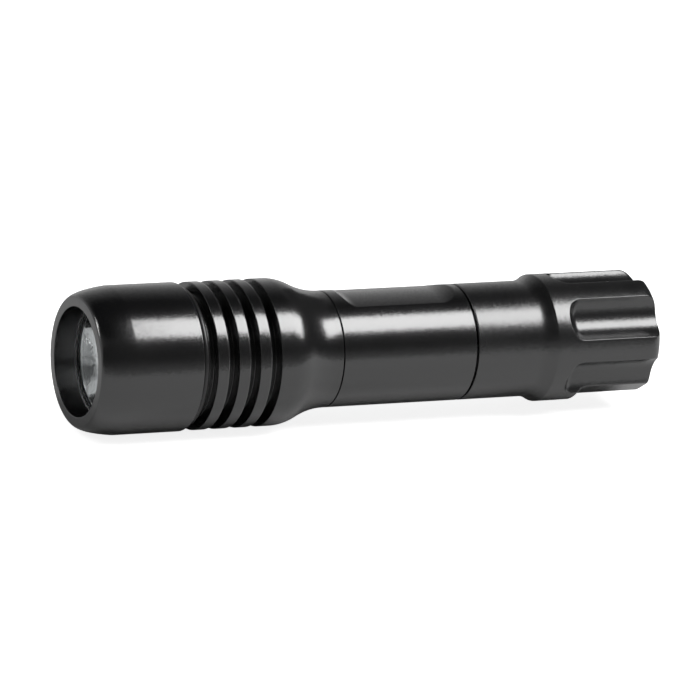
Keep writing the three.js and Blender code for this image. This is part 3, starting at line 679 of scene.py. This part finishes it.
# Driver: a round fibreglass board with an inductor on its front, clamped in the carrier by a ring.
# A plated spring on its back presses on the cell, and two silicone leads run up through the carrier.
DRIVER_RING_WALL = 1.75
DRIVER_COIL = {"front_radius": 4.2, "back_radius": 2.2, "turns": 5, "wire_radius": 0.35}
BOARD_EDGE = 0.08
BOARD_GREEN = 0.03, 0.16, 0.07
TINNED = 0.6, 0.6, 0.58
PAD_RADIUS = 1.1
INDUCTOR_EDGE = 0.3
LEAD_RADIUS = 0.5
LEAD_BEND = 1.2
LEAD_END = 5.3
LEADS = {
    "lead_positive": (1, "red_insulation", (0.42, 0.02, 0.015), (0.5, 0.03, 0.02)),
    "lead_negative": (-1, "black_insulation", (0.012, 0.012, 0.012), (0.02, 0.02, 0.021)),
}
FERRITE = (0.05, 0.05, 0.055), (0.1, 0.1, 0.11)
PLATING = (0.5, 0.5, 0.5), (0.6, 0.6, 0.61)
SPECKLE_SPREAD = 0.15


def disc(name, cad_node, edge):
    """A plain round piece in the place of a CAD node."""
    front, back, radius = span(cad_node)
    return turned(name, rounded([(front, 0), (front, radius, edge), (back, radius, edge), (back, 0)]))


def collar(name, cad_node, inner, edge):
    """A plain ring in the place of a CAD node."""
    front, back, radius = span(cad_node)
    return turned(name, rounded([
        (front, inner, edge),
        (front, radius, edge),
        (back, radius, edge),
        (back, inner, edge),
    ]))


def solder_pads_group():
    """A mask of two round pads, one on each side of the axis along Y."""
    inputs = {"Offset": LEAD_OFFSET * MM, "Pad Radius": PAD_RADIUS * MM}
    tree, given, gives = group("solder_pads", inputs, ["Mask"])
    parts = node(tree, "ShaderNodeSeparateXYZ", Vector=placed(tree)).outputs
    side = reckoned(tree, "ABSOLUTE", parts["Y"])
    here = node(tree, "ShaderNodeCombineXYZ", Y=side, Z=parts["Z"]).outputs["Vector"]
    pad = node(tree, "ShaderNodeCombineXYZ", Y=given["Offset"]).outputs["Vector"]
    away = vectored(tree, "DISTANCE", here, pad, result="Value")
    plug(tree, gives["Mask"], reckoned(tree, "LESS_THAN", away, given["Pad Radius"]))
    return tree


SOLDER_PADS = solder_pads_group()


def circuit_board(name, mask_colour, pad_offset):
    """Solder mask over a board, with two tinned pads."""
    material, tree, shader = finish(name, Roughness=0.38)
    sizes = {"Offset": pad_offset * MM, "Pad_Radius": PAD_RADIUS * MM}
    pads = node(tree, "ShaderNodeGroup", {"node_tree": SOLDER_PADS}, **sizes).outputs["Mask"]
    plug(tree, shader.inputs["Base Color"], mixed(tree, pads, mask_colour, TINNED))
    plug(tree, shader.inputs["Metallic"], pads)
    return material


def speckled(name, dark, light, scale, roughness, metallic=0):
    """A plain finish with a fine speckle: moulded, pressed, plated or fired."""
    material, tree, shader = finish(name, Metallic=metallic)
    smoother, rougher = roughness * (1 - SPECKLE_SPREAD), roughness * (1 + SPECKLE_SPREAD)
    toned(tree, shader, noise(tree, scale), dark, light, smooth=smoother, rough=rougher)
    return material


def coil_tree():
    """A conical spring along X: a spiral as the path and a round wire as the section."""
    names = ["Front", "Length", "Front Radius", "Back Radius", "Turns", "Wire Radius"]
    tree, given, sweep = path_tree("coil_spring", dict.fromkeys(names, "NodeSocketFloat"))
    spiral = node(
        tree, "GeometryNodeCurveSpiral", Resolution=40, Rotations=given["Turns"], Height=given["Length"],
        Start_Radius=given["Front Radius"], End_Radius=given["Back Radius"],
    )
    plug(tree, sweep["Curve"], about_x(tree, spiral.outputs["Curve"], given["Front"]))
    plug(tree, sweep["Profile Curve"], ring(tree, sides=12, radius=given["Wire Radius"]))
    return tree


COIL_SPRING = coil_tree()
PLATED_STEEL = speckled("plated_steel", *PLATING, scale=500, roughness=0.24, metallic=1)


def coil(name, cad_node, front_radius, back_radius, turns, wire_radius):
    """A spring that fills the length of a CAD node."""
    front, back = span(cad_node)[:2]
    return grown(
        name,
        COIL_SPRING,
        front=(front + wire_radius) * MM,
        length=(back - front - 2 * wire_radius) * MM,
        front_radius=front_radius * MM,
        back_radius=back_radius * MM,
        turns=float(turns),
        wire_radius=wire_radius * MM,
        material=PLATED_STEEL,
    )


def lead_tree():
    """A lead that runs straight, bends once and ends at its pad."""
    kinds = dict.fromkeys(["Start", "Corner", "End"], "NodeSocketVector")
    kinds |= dict.fromkeys(["Bend", "Wire Radius"], "NodeSocketFloat")
    tree, given, sweep = path_tree("bent_lead", kinds)
    line = node(tree, "GeometryNodeCurvePrimitiveLine", Start=given["Start"], End=given["End"])
    three = node(tree, "GeometryNodeResampleCurve", Curve=line.outputs["Curve"], Count=3)
    middle_point = node(tree, "FunctionNodeCompare", {"data_type": "INT", "operation": "EQUAL"})
    first, second = [socket for socket in middle_point.inputs if socket.enabled]
    plug(tree, first, node(tree, "GeometryNodeInputIndex").outputs["Index"])
    plug(tree, second, 1)
    pulled = node(
        tree, "GeometryNodeSetPosition", Geometry=three.outputs["Curve"], Position=given["Corner"],
        Selection=middle_point.outputs["Result"],
    )
    bent = node(
        tree, "GeometryNodeFilletCurve", {"mode": "POLY"}, Curve=pulled.outputs["Geometry"],
        Radius=given["Bend"], Count=8,
    )
    plug(tree, sweep["Curve"], bent.outputs["Curve"])
    plug(tree, sweep["Profile Curve"], ring(tree, sides=14, radius=given["Wire Radius"]))
    return tree


green_board = circuit_board("green_solder_mask", BOARD_GREEN, LEAD_OFFSET)
driver = disc("driver_disc", "driver_board", BOARD_EDGE)
dress(driver, green_board, "barrel", "driver_board", "driver_board")
ferrite = speckled("pressed_ferrite", *FERRITE, scale=2500, roughness=0.6)
inductor = disc("drum_inductor", "driver_inductor", INDUCTOR_EDGE)
dress(inductor, ferrite, "barrel", "ferrite", "driver_inductor")
driver_ring_bore = span("driver_board")[2] - DRIVER_RING_WALL
driver_ring = collar("driver_clamp_ring", "driver_ring", driver_ring_bore, BROKEN_EDGE)
dress(driver_ring, TURNED_BRASS, "barrel", "brass", "driver_ring")
driver_coil = coil("driver_contact_spring", "driver_spring", **DRIVER_COIL)
dress(driver_coil, PLATED_STEEL, "barrel", "spring_steel", "driver_spring")
BENT_LEAD = lead_tree()
for lead, (side, insulation, dark, light) in LEADS.items():
    front, back = span(lead)[:2]
    level = (front + LEAD_RADIUS) * MM
    silicone = speckled(insulation, dark, light, scale=900, roughness=0.45)
    wire = grown(
        lead.replace("lead", "silicone_lead"),
        BENT_LEAD,
        start=(back * MM, side * LEAD_OFFSET * MM, 0),
        corner=(level, side * LEAD_OFFSET * MM, 0),
        end=(level, side * LEAD_END * MM, 0),
        bend=LEAD_BEND * MM,
        wire_radius=LEAD_RADIUS * MM,
        material=silicone,
    )
    dress(wire, silicone, "barrel", insulation, lead)


# Lamp: one white LED with a silicone dome, soldered on a metal-core board that lies on the carrier.
# A moulded gasket with a square window sits round it and centres the foot of the reflector.
BOARD_WHITE = 0.78, 0.78, 0.76
EMITTER_THICKNESS = 0.7
EMITTER_EDGE = 0.12
CERAMIC = 0.8, 0.8, 0.78
PHOSPHOR = 0.85, 0.7, 0.2
PHOSPHOR_HALF = 1.5
DOME_RADIUS = 1.9
DOME_STEPS = 12
DOME_IOR = 1.41
DOME_HAZE = 0.05
CLEAR = 0.95, 0.97, 0.97
WINDOW_HALF = 2.6
WINDOW_REACH = 1
MOULDED_WHITE = (0.76, 0.75, 0.71), (0.82, 0.81, 0.78)


def block(name, low, high, edge):
    """A box between two corners in millimetres, with its edges broken."""
    body = bmesh.new()
    bmesh.ops.create_cube(body, size=1)
    for vertex in body.verts:
        vertex.co = [(a + b) / 2 + unit * (b - a) for a, b, unit in zip(low, high, vertex.co)]
    if edge:
        bmesh.ops.bevel(body, geom=body.edges, offset=edge, segments=2, affect="EDGES")
    bmesh.ops.scale(body, vec=(MM, MM, MM), verts=body.verts)
    mesh = bpy.data.meshes.new(name)
    body.to_mesh(mesh)
    body.free()
    piece = bpy.data.objects.new(name, mesh)
    bpy.context.scene.collection.objects.link(piece)
    return piece


def emitter_package():
    """A white ceramic package with a square of yellow phosphor under the dome."""
    material, tree, shader = finish("emitter_package", Roughness=0.4)
    sides = node(tree, "ShaderNodeSeparateXYZ", Vector=vectored(tree, "ABSOLUTE", placed(tree))).outputs
    from_middle = reckoned(tree, "MAXIMUM", sides["Y"], sides["Z"])
    square = reckoned(tree, "LESS_THAN", from_middle, PHOSPHOR_HALF * MM)
    plug(tree, shader.inputs["Base Color"], mixed(tree, square, CERAMIC, PHOSPHOR))
    return material


def clear_glass(name, index, haze):
    """A clear body with a faint drift of polish: its material, tree, shader and polish."""
    material, tree, shader = finish(name, IOR=index, Transmission_Weight=1, Base_Color=CLEAR)
    polish = ranged(tree, noise(tree, scale=160, detail=2), 0, haze)
    plug(tree, shader.inputs["Roughness"], polish)
    return material, tree, shader, polish


white_board = circuit_board("white_solder_mask", BOARD_WHITE, LEAD_END + LEAD_RADIUS)
dress(disc("metal_core_board", "led_board", BOARD_EDGE), white_board, "barrel", "led_board", "led_board")
emitter_low, emitter_high = (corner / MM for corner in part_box("led_emitter"))
package_front = emitter_high.x - EMITTER_THICKNESS
package = block("emitter_package", (package_front, *emitter_low.yz), emitter_high, EMITTER_EDGE)
dress(package, emitter_package(), "barrel", "emitter", "led_emitter")
dome_outline = [(package_front, 0, 0)]
for step in range(DOME_STEPS + 1):
    angle = step / DOME_STEPS * math.pi / 2
    dome_front = package_front - DOME_RADIUS * math.sin(angle)
    dome_outline.append((dome_front, DOME_RADIUS * math.cos(angle), 0))
dome = turned("emitter_dome", dome_outline)
dress(dome, clear_glass("silicone_dome", DOME_IOR, DOME_HAZE)[0], "barrel", "emitter", "led_emitter")
gasket_front, gasket_back = span("led_gasket")[:2]
window = block(
    "window",
    (gasket_front - WINDOW_REACH, -WINDOW_HALF, -WINDOW_HALF),
    (gasket_back + WINDOW_REACH, WINDOW_HALF, WINDOW_HALF),
    0,
)
gasket = opened(disc("windowed_gasket", "led_gasket", BROKEN_EDGE), window)
WHITE_PLASTIC = speckled("moulded_white", *MOULDED_WHITE, scale=700, roughness=0.45)
dress(gasket, WHITE_PLASTIC, "barrel", "white_plastic", "led_gasket")


# Reflector: a deep aluminium bowl, stippled and vacuum plated, with its focus at the emitter.
# Its rim stands at the lens and its foot on the gasket, so the bezel holds it down.
REFLECTOR_RIM_WALL = 0.2
REFLECTOR_FLANGE = 11.78
REFLECTOR_FLANGE_LENGTH = 1.4
REFLECTOR_RIM_LENGTH = 2.4
REFLECTOR_HOLE = 3.4
REFLECTOR_FOOT_WALL = 1.4
REFLECTOR_EDGE = 0.05
BOWL_STEPS = 48
BRIGHT_PLATING = (0.86, 0.86, 0.87), (0.92, 0.92, 0.92)

reflector_front, reflector_back, reflector_radius = span("reflector")
reflector_length = reflector_back - reflector_front
bowl_radius = REFLECTOR_FLANGE - REFLECTOR_RIM_WALL


def bowl(share):
    """Radius of the bowl at a share of its depth: a parabola."""
    return math.sqrt(bowl_radius**2 + (REFLECTOR_HOLE**2 - bowl_radius**2) * share)


def reflector_outline():
    """The rim, the tapering outside, the foot and the parabola back to the rim."""
    rim_share = REFLECTOR_RIM_LENGTH / reflector_length
    rim_wall = reflector_radius - bowl(rim_share)
    flange_back = reflector_front + REFLECTOR_FLANGE_LENGTH
    corners = [
        (reflector_front, bowl_radius, REFLECTOR_EDGE),
        (reflector_front, REFLECTOR_FLANGE, REFLECTOR_EDGE),
        (flange_back, REFLECTOR_FLANGE, REFLECTOR_EDGE),
        (flange_back, reflector_radius, REFLECTOR_EDGE),
    ]
    for step in range(BOWL_STEPS + 1):
        done = step / BOWL_STEPS
        share = rim_share + (1 - rim_share) * done
        wall = rim_wall + (REFLECTOR_FOOT_WALL - rim_wall) * done
        corners.append((reflector_front + reflector_length * share, bowl(share) + wall))
    for step in range(BOWL_STEPS, 0, -1):
        share = step / BOWL_STEPS
        corners.append((reflector_front + reflector_length * share, bowl(share)))
    return rounded(corners)


def stippled_plating():
    """Bright plating over an orange-peel stipple."""
    material, tree, shader = finish("stippled_plating", Metallic=1)
    peel = node(
        tree, "ShaderNodeTexVoronoi", {"feature": "SMOOTH_F1"}, Vector=placed(tree), Scale=1500,
        Smoothness=0.9,
    )
    toned(tree, shader, noise(tree, scale=300), *BRIGHT_PLATING, smooth=0.06, rough=0.1)
    bumped(tree, shader, peel.outputs["Distance"], strength=0.8, distance=0.015 * MM)
    return material


reflector = turned("stippled_reflector", reflector_outline())
dress(reflector, stippled_plating(), "barrel", "plated_reflector", "reflector")


# Front lens: a thick disc of toughened glass, clamped between the bezel and its O-ring.
# Its faces are polished, and its chamfers and edge are ground matt.
LENS_CHAMFER = 0.35
LENS_EDGE = 0.1
LENS_IOR = 1.5
LENS_HAZE = 0.03
GROUND_WIDTH = 1.2 * LENS_CHAMFER
GROUND_ROUGHNESS = 0.5


def from_axis(tree):
    """Distance of the surface from the torch's axis."""
    flat = vectored(tree, "MULTIPLY", placed(tree), (0, 1, 1))
    return vectored(tree, "LENGTH", flat, result="Value")


def ground_edged_glass(ground_from):
    """Clear glass that is ground matt beyond a distance from the axis."""
    material, tree, shader, polish = clear_glass("toughened_glass", LENS_IOR, LENS_HAZE)
    ground = reckoned(tree, "GREATER_THAN", from_axis(tree), ground_from * MM)
    matt = reckoned(tree, "MULTIPLY", ground, GROUND_ROUGHNESS)
    plug(tree, shader.inputs["Roughness"], reckoned(tree, "MAXIMUM", polish, matt))
    return material


lens_front, lens_back, lens_radius = span("front_lens")
lens = turned("glass_lens", rounded([
    (lens_front, 0),
    (lens_front, lens_radius - LENS_CHAMFER, LENS_EDGE),
    (lens_front + LENS_CHAMFER, lens_radius, LENS_EDGE),
    (lens_back - LENS_CHAMFER, lens_radius, LENS_EDGE),
    (lens_back, lens_radius - LENS_CHAMFER, LENS_EDGE),
    (lens_back, 0),
]))
dress(lens, ground_edged_glass(lens_radius - GROUND_WIDTH), "lens_stack", "lens_glass", "front_lens")


# Bezel: a knob-like ring turned with an oval nose and a flat lip, screwed on the head's spigot.
# It clamps the lens on its O-ring, and unscrews to change or clean the glass.
LIP_FORWARD = 0.4
LIP_RADIUS = 14.1
LIP_DEPTH = 4.9
KNOB_TRIM = 0.1
MOUTH = 12.2
MOUTH_ROUND = 0.04
NOSE_LENGTH = 7.8
NOSE_SWEEP = math.radians(58.8)
NOSE_STEPS = 28
LENS_POCKET = 13.4
BEZEL_BORE = 14.15
POCKET_BACK = -129.4

lip_front = bezel_front - LIP_FORWARD
lip_back = lip_front + LIP_DEPTH
knob_radius = bezel_radius - KNOB_TRIM


def nose(share):
    """A point of the oval nose, from the lip at share 0 to the full radius at share 1."""
    reach = NOSE_LENGTH / (1 - math.cos(NOSE_SWEEP))
    rise = (knob_radius - LIP_RADIUS) / math.sin(NOSE_SWEEP)
    angle = share * NOSE_SWEEP
    return lip_front + reach * (1 - math.cos(angle)), LIP_RADIUS + rise * math.sin(angle)


bezel = turned("knob_bezel", rounded([
    (lip_front, MOUTH, INNER_ROUND),
    *[nose(step / NOSE_STEPS) for step in range(NOSE_STEPS + 1)],
    (bezel_back, knob_radius, EDGE_ROUND),
    (bezel_back, BEZEL_BORE, INNER_ROUND),
    (POCKET_BACK, BEZEL_BORE, INNER_ROUND),
    (POCKET_BACK, LENS_POCKET, INNER_ROUND),
    (lip_back, LENS_POCKET, INNER_ROUND),
    (lip_back, MOUTH, MOUTH_ROUND),
]))
dress(bezel, SATIN_BLACK, "bezel_ring", "black_anodised", "bezel")


# Cell: one rechargeable lithium cell in a shrink-wrapped steel can, with a plated button in front.
# A fibre washer keeps the button's edge from the can, and the springs hold the cell at both ends.
CELL_EDGE = 0.8
BARE_END = 7.6
BARE_STEEL = 0.55, 0.55, 0.56
WRAP_BLUE = 0.03, 0.12, 0.28
BUTTON_EDGE = 0.35
WASHER_HOLE = 3.1
WASHER_EDGE = 0.05


def shrink_wrap():
    """Blue film over the can, and bare plated steel inside its rolled ends."""
    material, tree, shader = finish("shrink_wrap", Roughness=0.3)
    bare = reckoned(tree, "LESS_THAN", from_axis(tree), BARE_END * MM)
    plug(tree, shader.inputs["Base Color"], mixed(tree, bare, WRAP_BLUE, BARE_STEEL))
    plug(tree, shader.inputs["Metallic"], bare)
    return material


dress(disc("wrapped_cell", "cell_can", CELL_EDGE), shrink_wrap(), "barrel", "cell_wrap", "cell_can")
button = disc("plated_button", "cell_button", BUTTON_EDGE)
dress(button, PLATED_STEEL, "barrel", "spring_steel", "cell_button")
washer = collar("fibre_washer", "cell_insulator", WASHER_HOLE, WASHER_EDGE)
dress(washer, WHITE_PLASTIC, "barrel", "white_plastic", "cell_insulator")


# Tail contact: a brass plate clamped in the cap by a threaded ring, with a plated spring on it.
# In the torch its foot stays with the plate and its tip with the cell, so it gives as the cap turns;
# here it is built in place and joined to neither body.
PLATE_RING_WALL = 1.75
TAIL_COIL = {"front_radius": 3.6, "back_radius": 7.4, "turns": 6, "wire_radius": 0.55}

plate = disc("contact_plate", "spring_plate", BROKEN_EDGE)
dress(plate, TURNED_BRASS, "tail_contact", "brass", "spring_plate")
plate_ring_bore = span("spring_plate")[2] - PLATE_RING_WALL
plate_ring = collar("plate_clamp_ring", "plate_ring", plate_ring_bore, BROKEN_EDGE)
dress(plate_ring, TURNED_BRASS, "twist_cap", "brass", "plate_ring")
tail_coil = coil("tail_contact_spring", "tail_spring", **TAIL_COIL)
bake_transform(tail_coil)
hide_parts("tail_spring")


# Tail cap: a threaded sleeve that flares to a grip, milled with oval-ended flutes and one flat land.
# It is blasted a little coarser than the rest, and turns as battery door and twist switch.
CAP_SLEEVE = 15.4
CAP_STEP = SWITCH_GAP
FLARE_LENGTH = 3.9
FLARE_SPLIT = 0.95
REAR_ROUND = 3.0
REAR_STEPS = 10
CHAMBER = 10.2
CHAMBER_DEPTH = 7.3
FLUTE_COUNT = 6
FLUTE_RADIUS = 5.8
FLUTE_DEPTH = 3.33
FLUTE_NOSE = 3.76
FLUTE_FULL = -19.85
FLUTE_EDGE = 0.3
FLUTE_HALF_ANGLE = 19.45
FLUTE_ANGLE = 4.6
FLUTE_LINE_STEP = 1.2
EDGE_WINDOW = 3.0
EDGE_LINE_STEP = 0.4
CAP_LINE_STEP = 2
NOSE_STEP = 0.15
GRIP_STEP = 0.6
LAND_HEIGHT = 12.8
LAND_FRONT = -15.85
LAND_RUN_OUTS = 3.2, 1.2
LAND_CROWN = 2000
LAND_INDEX = 3.5
LAND_EDGE = 0.25
COARSE_ROUGHNESS = 0.26
COARSE_TILT = 0.07


def flute_angle(index):
    """Angle of a flute's middle about the axis, or of a ridge's at a half, in degrees."""
    return FLUTE_ANGLE + index * FULL_TURN / FLUTE_COUNT


def flutes(x, radius, angle):
    """Cuts of a ball-nosed bar that runs along each flute and out through the tail."""
    axis = cap_radius - FLUTE_DEPTH + FLUTE_RADIUS
    pitch = 2 * math.pi / FLUTE_COUNT
    off_middle = (angle - math.radians(FLUTE_ANGLE) + pitch / 2) % pitch - pitch / 2
    ahead = np.clip((FLUTE_FULL - x) / FLUTE_NOSE, 0, 1)
    room = FLUTE_RADIUS**2 * (1 - ahead**2) - (axis * np.sin(off_middle))**2
    floor = np.where(room > 0, axis * np.cos(off_middle) - np.sqrt(np.maximum(room, 0)), np.inf)
    return soft_minimum(radius, floor, FLUTE_EDGE)


cap_shoulder = cap_front + CAP_SLEEVE
rear_arc = []
for step in range(REAR_STEPS + 1):
    angle = step / REAR_STEPS * math.pi / 2
    rear_arc.append((
        cap_back - REAR_ROUND * (1 - math.sin(angle)),
        cap_radius - REAR_ROUND * (1 - math.cos(angle)),
    ))
cap_outline = rounded([
    (cap_back - CHAMBER_DEPTH, 0),
    (cap_back - CHAMBER_DEPTH, CHAMBER, INNER_ROUND),
    (tube_back + CAP_STEP, CHAMBER, INNER_ROUND),
    (tube_back + CAP_STEP, SOCKET, INNER_ROUND),
    (cap_front, SOCKET, INNER_ROUND),
    (cap_front, tube_radius, EDGE_ROUND),
    *smooth_step(cap_shoulder, FLARE_LENGTH, tube_radius, cap_radius, FLARE_SPLIT),
    (FLUTE_FULL, cap_radius),
    *rear_arc,
    (cap_back, 0),
])
cap_outline = divided(cap_outline, cap_shoulder, FLUTE_FULL, NOSE_STEP)
cap_outline = divided(cap_outline, FLUTE_FULL, cap_back, GRIP_STEP)
cap_land = crowned_flat(
    LAND_FRONT, cap_back + REAR_ROUND, LAND_HEIGHT, LAND_CROWN, LAND_RUN_OUTS, LAND_EDGE,
    math.radians(flute_angle(LAND_INDEX)),
)
flute_windows = []
for index in range(FLUTE_COUNT):
    flute_windows.append((flute_angle(index), FLUTE_HALF_ANGLE - EDGE_WINDOW, FLUTE_LINE_STEP))
    for side in (-1, 1):
        flute_windows.append((flute_angle(index) + side * FLUTE_HALF_ANGLE, EDGE_WINDOW, EDGE_LINE_STEP))
cap = turned(
    "fluted_cap",
    cap_outline,
    turn_lines(CAP_LINE_STEP, *flute_windows),
    lambda x, radius, angle: flutes(x, cap_land(x, radius, angle), angle),
)
COARSE_BLACK = black_anodise("coarse_black_anodise", COARSE_ROUGHNESS, COARSE_TILT)
dress(cap, COARSE_BLACK, "twist_cap", "black_anodised", "tail_cap")


# Studio: a pale floor in a white room, with two soft boxes overhead.
# Two dark cards, one towards the camera and one behind the tail, only show in reflections; they glow
# with painted light, faintly for the room and more at their foot for the floor's bounce.
FLOOR_SIZE = 6.0
FLOOR_GLOW = 0.83
FLOOR_ALBEDO = 0.7
ROOM_DIFFUSE = 0.32
ROOM_MIRROR = 0.8
ROOM_FALL = 1.2
BOX_DISTANCE = 0.756
KEY_DIRECTION = Vector((0.516, -0.368, 0.774))
KEY_SIZE = 0.54, 0.39
KEY_RADIANCE = 9.0
FRONT_DIRECTION = Vector((-0.82, 0.11, 0.56))
FRONT_SIZE = 0.3, 0.11
FRONT_RADIANCE = 11.0
# The cards' painted light: an even faint glow for the room, and a painted glow of floor bounce over
# their foot.
PAINTED_ROOM_GLOW = 0.06
PAINTED_FOOT_BOUNCE = 0.43
CARD_FOOT_HEIGHT = 0.128
FRONT_CARD_LENGTH = 2.4
FRONT_CARD_LOW = math.radians(-94), 0.23
FRONT_CARD_HIGH = math.radians(-44), 0.9
TAIL_CARD_DISTANCE = 0.7
TAIL_CARD_SIZE = 1.8, 0.9

middle = (cad_box[0] + cad_box[1]) / 2
floor_level = cad_box[0].z


def pale_floor():
    """A matt pale surface that the camera sees as white, with the torch's soft shadow."""
    material, tree = bare_material("pale_floor")
    matt = node(tree, "ShaderNodeBsdfDiffuse", Color=(FLOOR_ALBEDO, FLOOR_ALBEDO, FLOOR_ALBEDO))
    seen = node(tree, "ShaderNodeLightPath").outputs["Is Camera Ray"]
    glow = node(tree, "ShaderNodeEmission", Strength=reckoned(tree, "MULTIPLY", seen, FLOOR_GLOW))
    both = node(tree, "ShaderNodeAddShader")
    plug(tree, both.inputs[0], matt.outputs["BSDF"])
    plug(tree, both.inputs[1], glow.outputs["Emission"])
    node(tree, "ShaderNodeOutputMaterial", Surface=both.outputs["Shader"])
    return material


def dark_card():
    """A dark card that only glows: a faint even painted glow for the room's light, and a painted glow of
    floor bounce that grows towards its foot.
    """
    material, tree = bare_material("dark_card")
    height = node(tree, "ShaderNodeSeparateXYZ", Vector=placed(tree)).outputs["Z"]
    foot = node(
        tree, "ShaderNodeMapRange", Value=height, From_Min=floor_level,
        From_Max=floor_level + CARD_FOOT_HEIGHT, To_Min=1, To_Max=0,
    ).outputs["Result"]
    # Painted floor bounce: the card glows more towards its foot, as if the floor lit it.
    painted_floor_bounce = reckoned(tree, "MULTIPLY", reckoned(tree, "MULTIPLY", foot, foot), PAINTED_FOOT_BOUNCE)
    glow = node(tree, "ShaderNodeEmission", Strength=reckoned(tree, "ADD", painted_floor_bounce, PAINTED_ROOM_GLOW))
    node(tree, "ShaderNodeOutputMaterial", Surface=glow.outputs["Emission"])
    return material


def card(name, corners, material):
    """A flat four-cornered sheet of the studio."""
    mesh = bpy.data.meshes.new(name)
    mesh.from_pydata(corners, [], [range(4)])
    mesh.materials.append(material)
    sheet = bpy.data.objects.new(name, mesh)
    bpy.context.scene.collection.objects.link(sheet)
    return sheet


def soft_box(name, direction, size, radiance):
    """A soft box that faces the torch and lies along it, as bright all over as its radiance says."""
    lamp = bpy.data.lights.new(name, "AREA")
    lamp.shape = "RECTANGLE"
    lamp.size, lamp.size_y = size
    lamp.energy = radiance * math.pi * lamp.size * lamp.size_y
    facing = direction.normalized()
    lengthwise = (Vector((1, 0, 0)) - facing * facing.x).normalized()
    turn = Matrix((lengthwise, facing.cross(lengthwise), facing)).transposed()
    light = bpy.data.objects.new(name, lamp)
    light.matrix_world = Matrix.Translation(middle + facing * BOX_DISTANCE) @ turn.to_4x4()
    bpy.context.scene.collection.objects.link(light)


half = FLOOR_SIZE / 2
card("floor", [
    (middle.x - half, -half, floor_level),
    (middle.x + half, -half, floor_level),
    (middle.x + half, half, floor_level),
    (middle.x - half, half, floor_level),
], pale_floor())
left, right = middle.x - FRONT_CARD_LENGTH / 2, middle.x + FRONT_CARD_LENGTH / 2
(low_y, low_z), (high_y, high_z) = (
    (distance * math.sin(from_up), distance * math.cos(from_up))
    for from_up, distance in (FRONT_CARD_LOW, FRONT_CARD_HIGH)
)
front_card = (left, low_y, low_z), (right, low_y, low_z), (right, high_y, high_z), (left, high_y, high_z)
card_x = middle.x + TAIL_CARD_DISTANCE
card_half = TAIL_CARD_SIZE[0] / 2
card_top = floor_level + TAIL_CARD_SIZE[1]
tail_card = [
    (card_x, -card_half, floor_level),
    (card_x, card_half, floor_level),
    (card_x, card_half, card_top),
    (card_x, -card_half, card_top),
]
DARK_CARD = dark_card()
for name, corners in {"front_card": front_card, "tail_card": tail_card}.items():
    sheet = card(name, corners, DARK_CARD)
    sheet.visible_camera = False
    sheet.visible_diffuse = False
    sheet.visible_shadow = False
soft_box("key_box", KEY_DIRECTION, KEY_SIZE, KEY_RADIANCE)
soft_box("front_box", FRONT_DIRECTION, FRONT_SIZE, FRONT_RADIANCE)

world = bpy.data.worlds.new("white_room")
world.use_nodes = True
bpy.context.scene.world = world
room = world.node_tree
room.nodes.clear()
rays = node(room, "ShaderNodeLightPath").outputs
facing = node(room, "ShaderNodeTexCoord").outputs["Generated"]
height = node(room, "ShaderNodeSeparateXYZ", Vector=facing).outputs["Z"]
walls = node(
    room, "ShaderNodeMapRange", Value=height, From_Max=1 / ROOM_FALL, To_Min=ROOM_MIRROR, To_Max=0,
).outputs["Result"]
room_level = rays["Is Camera Ray"]
for kind, level in {
    "Is Transmission Ray": ROOM_MIRROR,
    "Is Diffuse Ray": ROOM_DIFFUSE,
    "Is Glossy Ray": walls,
}.items():
    room_level = reckoned(room, "MAXIMUM", room_level, reckoned(room, "MULTIPLY", rays[kind], level))
glow = node(room, "ShaderNodeBackground", Color=(1, 1, 1), Strength=room_level)
node(room, "ShaderNodeOutputWorld", Surface=glow.outputs["Background"])


# Camera: a long lens that looks down on the torch from the lamp's side, as in the photograph.
# It is placed by where it sees the middle of the bezel's lip.
VIEW_TURN = math.radians(25.32)
VIEW_TILT = math.radians(-2.78)
FLAT_TURN = math.radians(77)
LIP_IN_VIEW = Vector((-59.67, 2.59, 1532.9)) * MM
FOCAL_PIXELS = 7000
FRAME_PIXELS = 700
SENSOR = 36
FARTHEST = 50

along = Vector((
    math.cos(VIEW_TURN) * math.cos(VIEW_TILT),
    math.sin(VIEW_TILT),
    math.sin(VIEW_TURN) * math.cos(VIEW_TILT),
))
level_up = Vector((0, -along.z, along.y)).normalized()
towards = along.cross(level_up)
up = math.cos(FLAT_TURN) * towards + math.sin(FLAT_TURN) * level_up
to_part = Matrix((along, up.cross(along), up))
lip_centre = Vector((cad_box[0].x, 0, 0))
camera_data = bpy.data.cameras.new("camera")
camera_data.sensor_width = SENSOR
camera_data.lens = SENSOR * FOCAL_PIXELS / FRAME_PIXELS
camera_data.clip_end = FARTHEST
camera = bpy.data.objects.new("camera", camera_data)
bpy.context.scene.collection.objects.link(camera)
view_right, view_down, view_ahead = to_part.col
turn = Matrix((view_right, -view_down, -view_ahead)).transposed()
camera.matrix_world = Matrix.Translation(lip_centre - to_part @ LIP_IN_VIEW) @ turn.to_4x4()
bpy.context.scene.camera = camera
bpy.context.scene.view_settings.view_transform = "Standard"
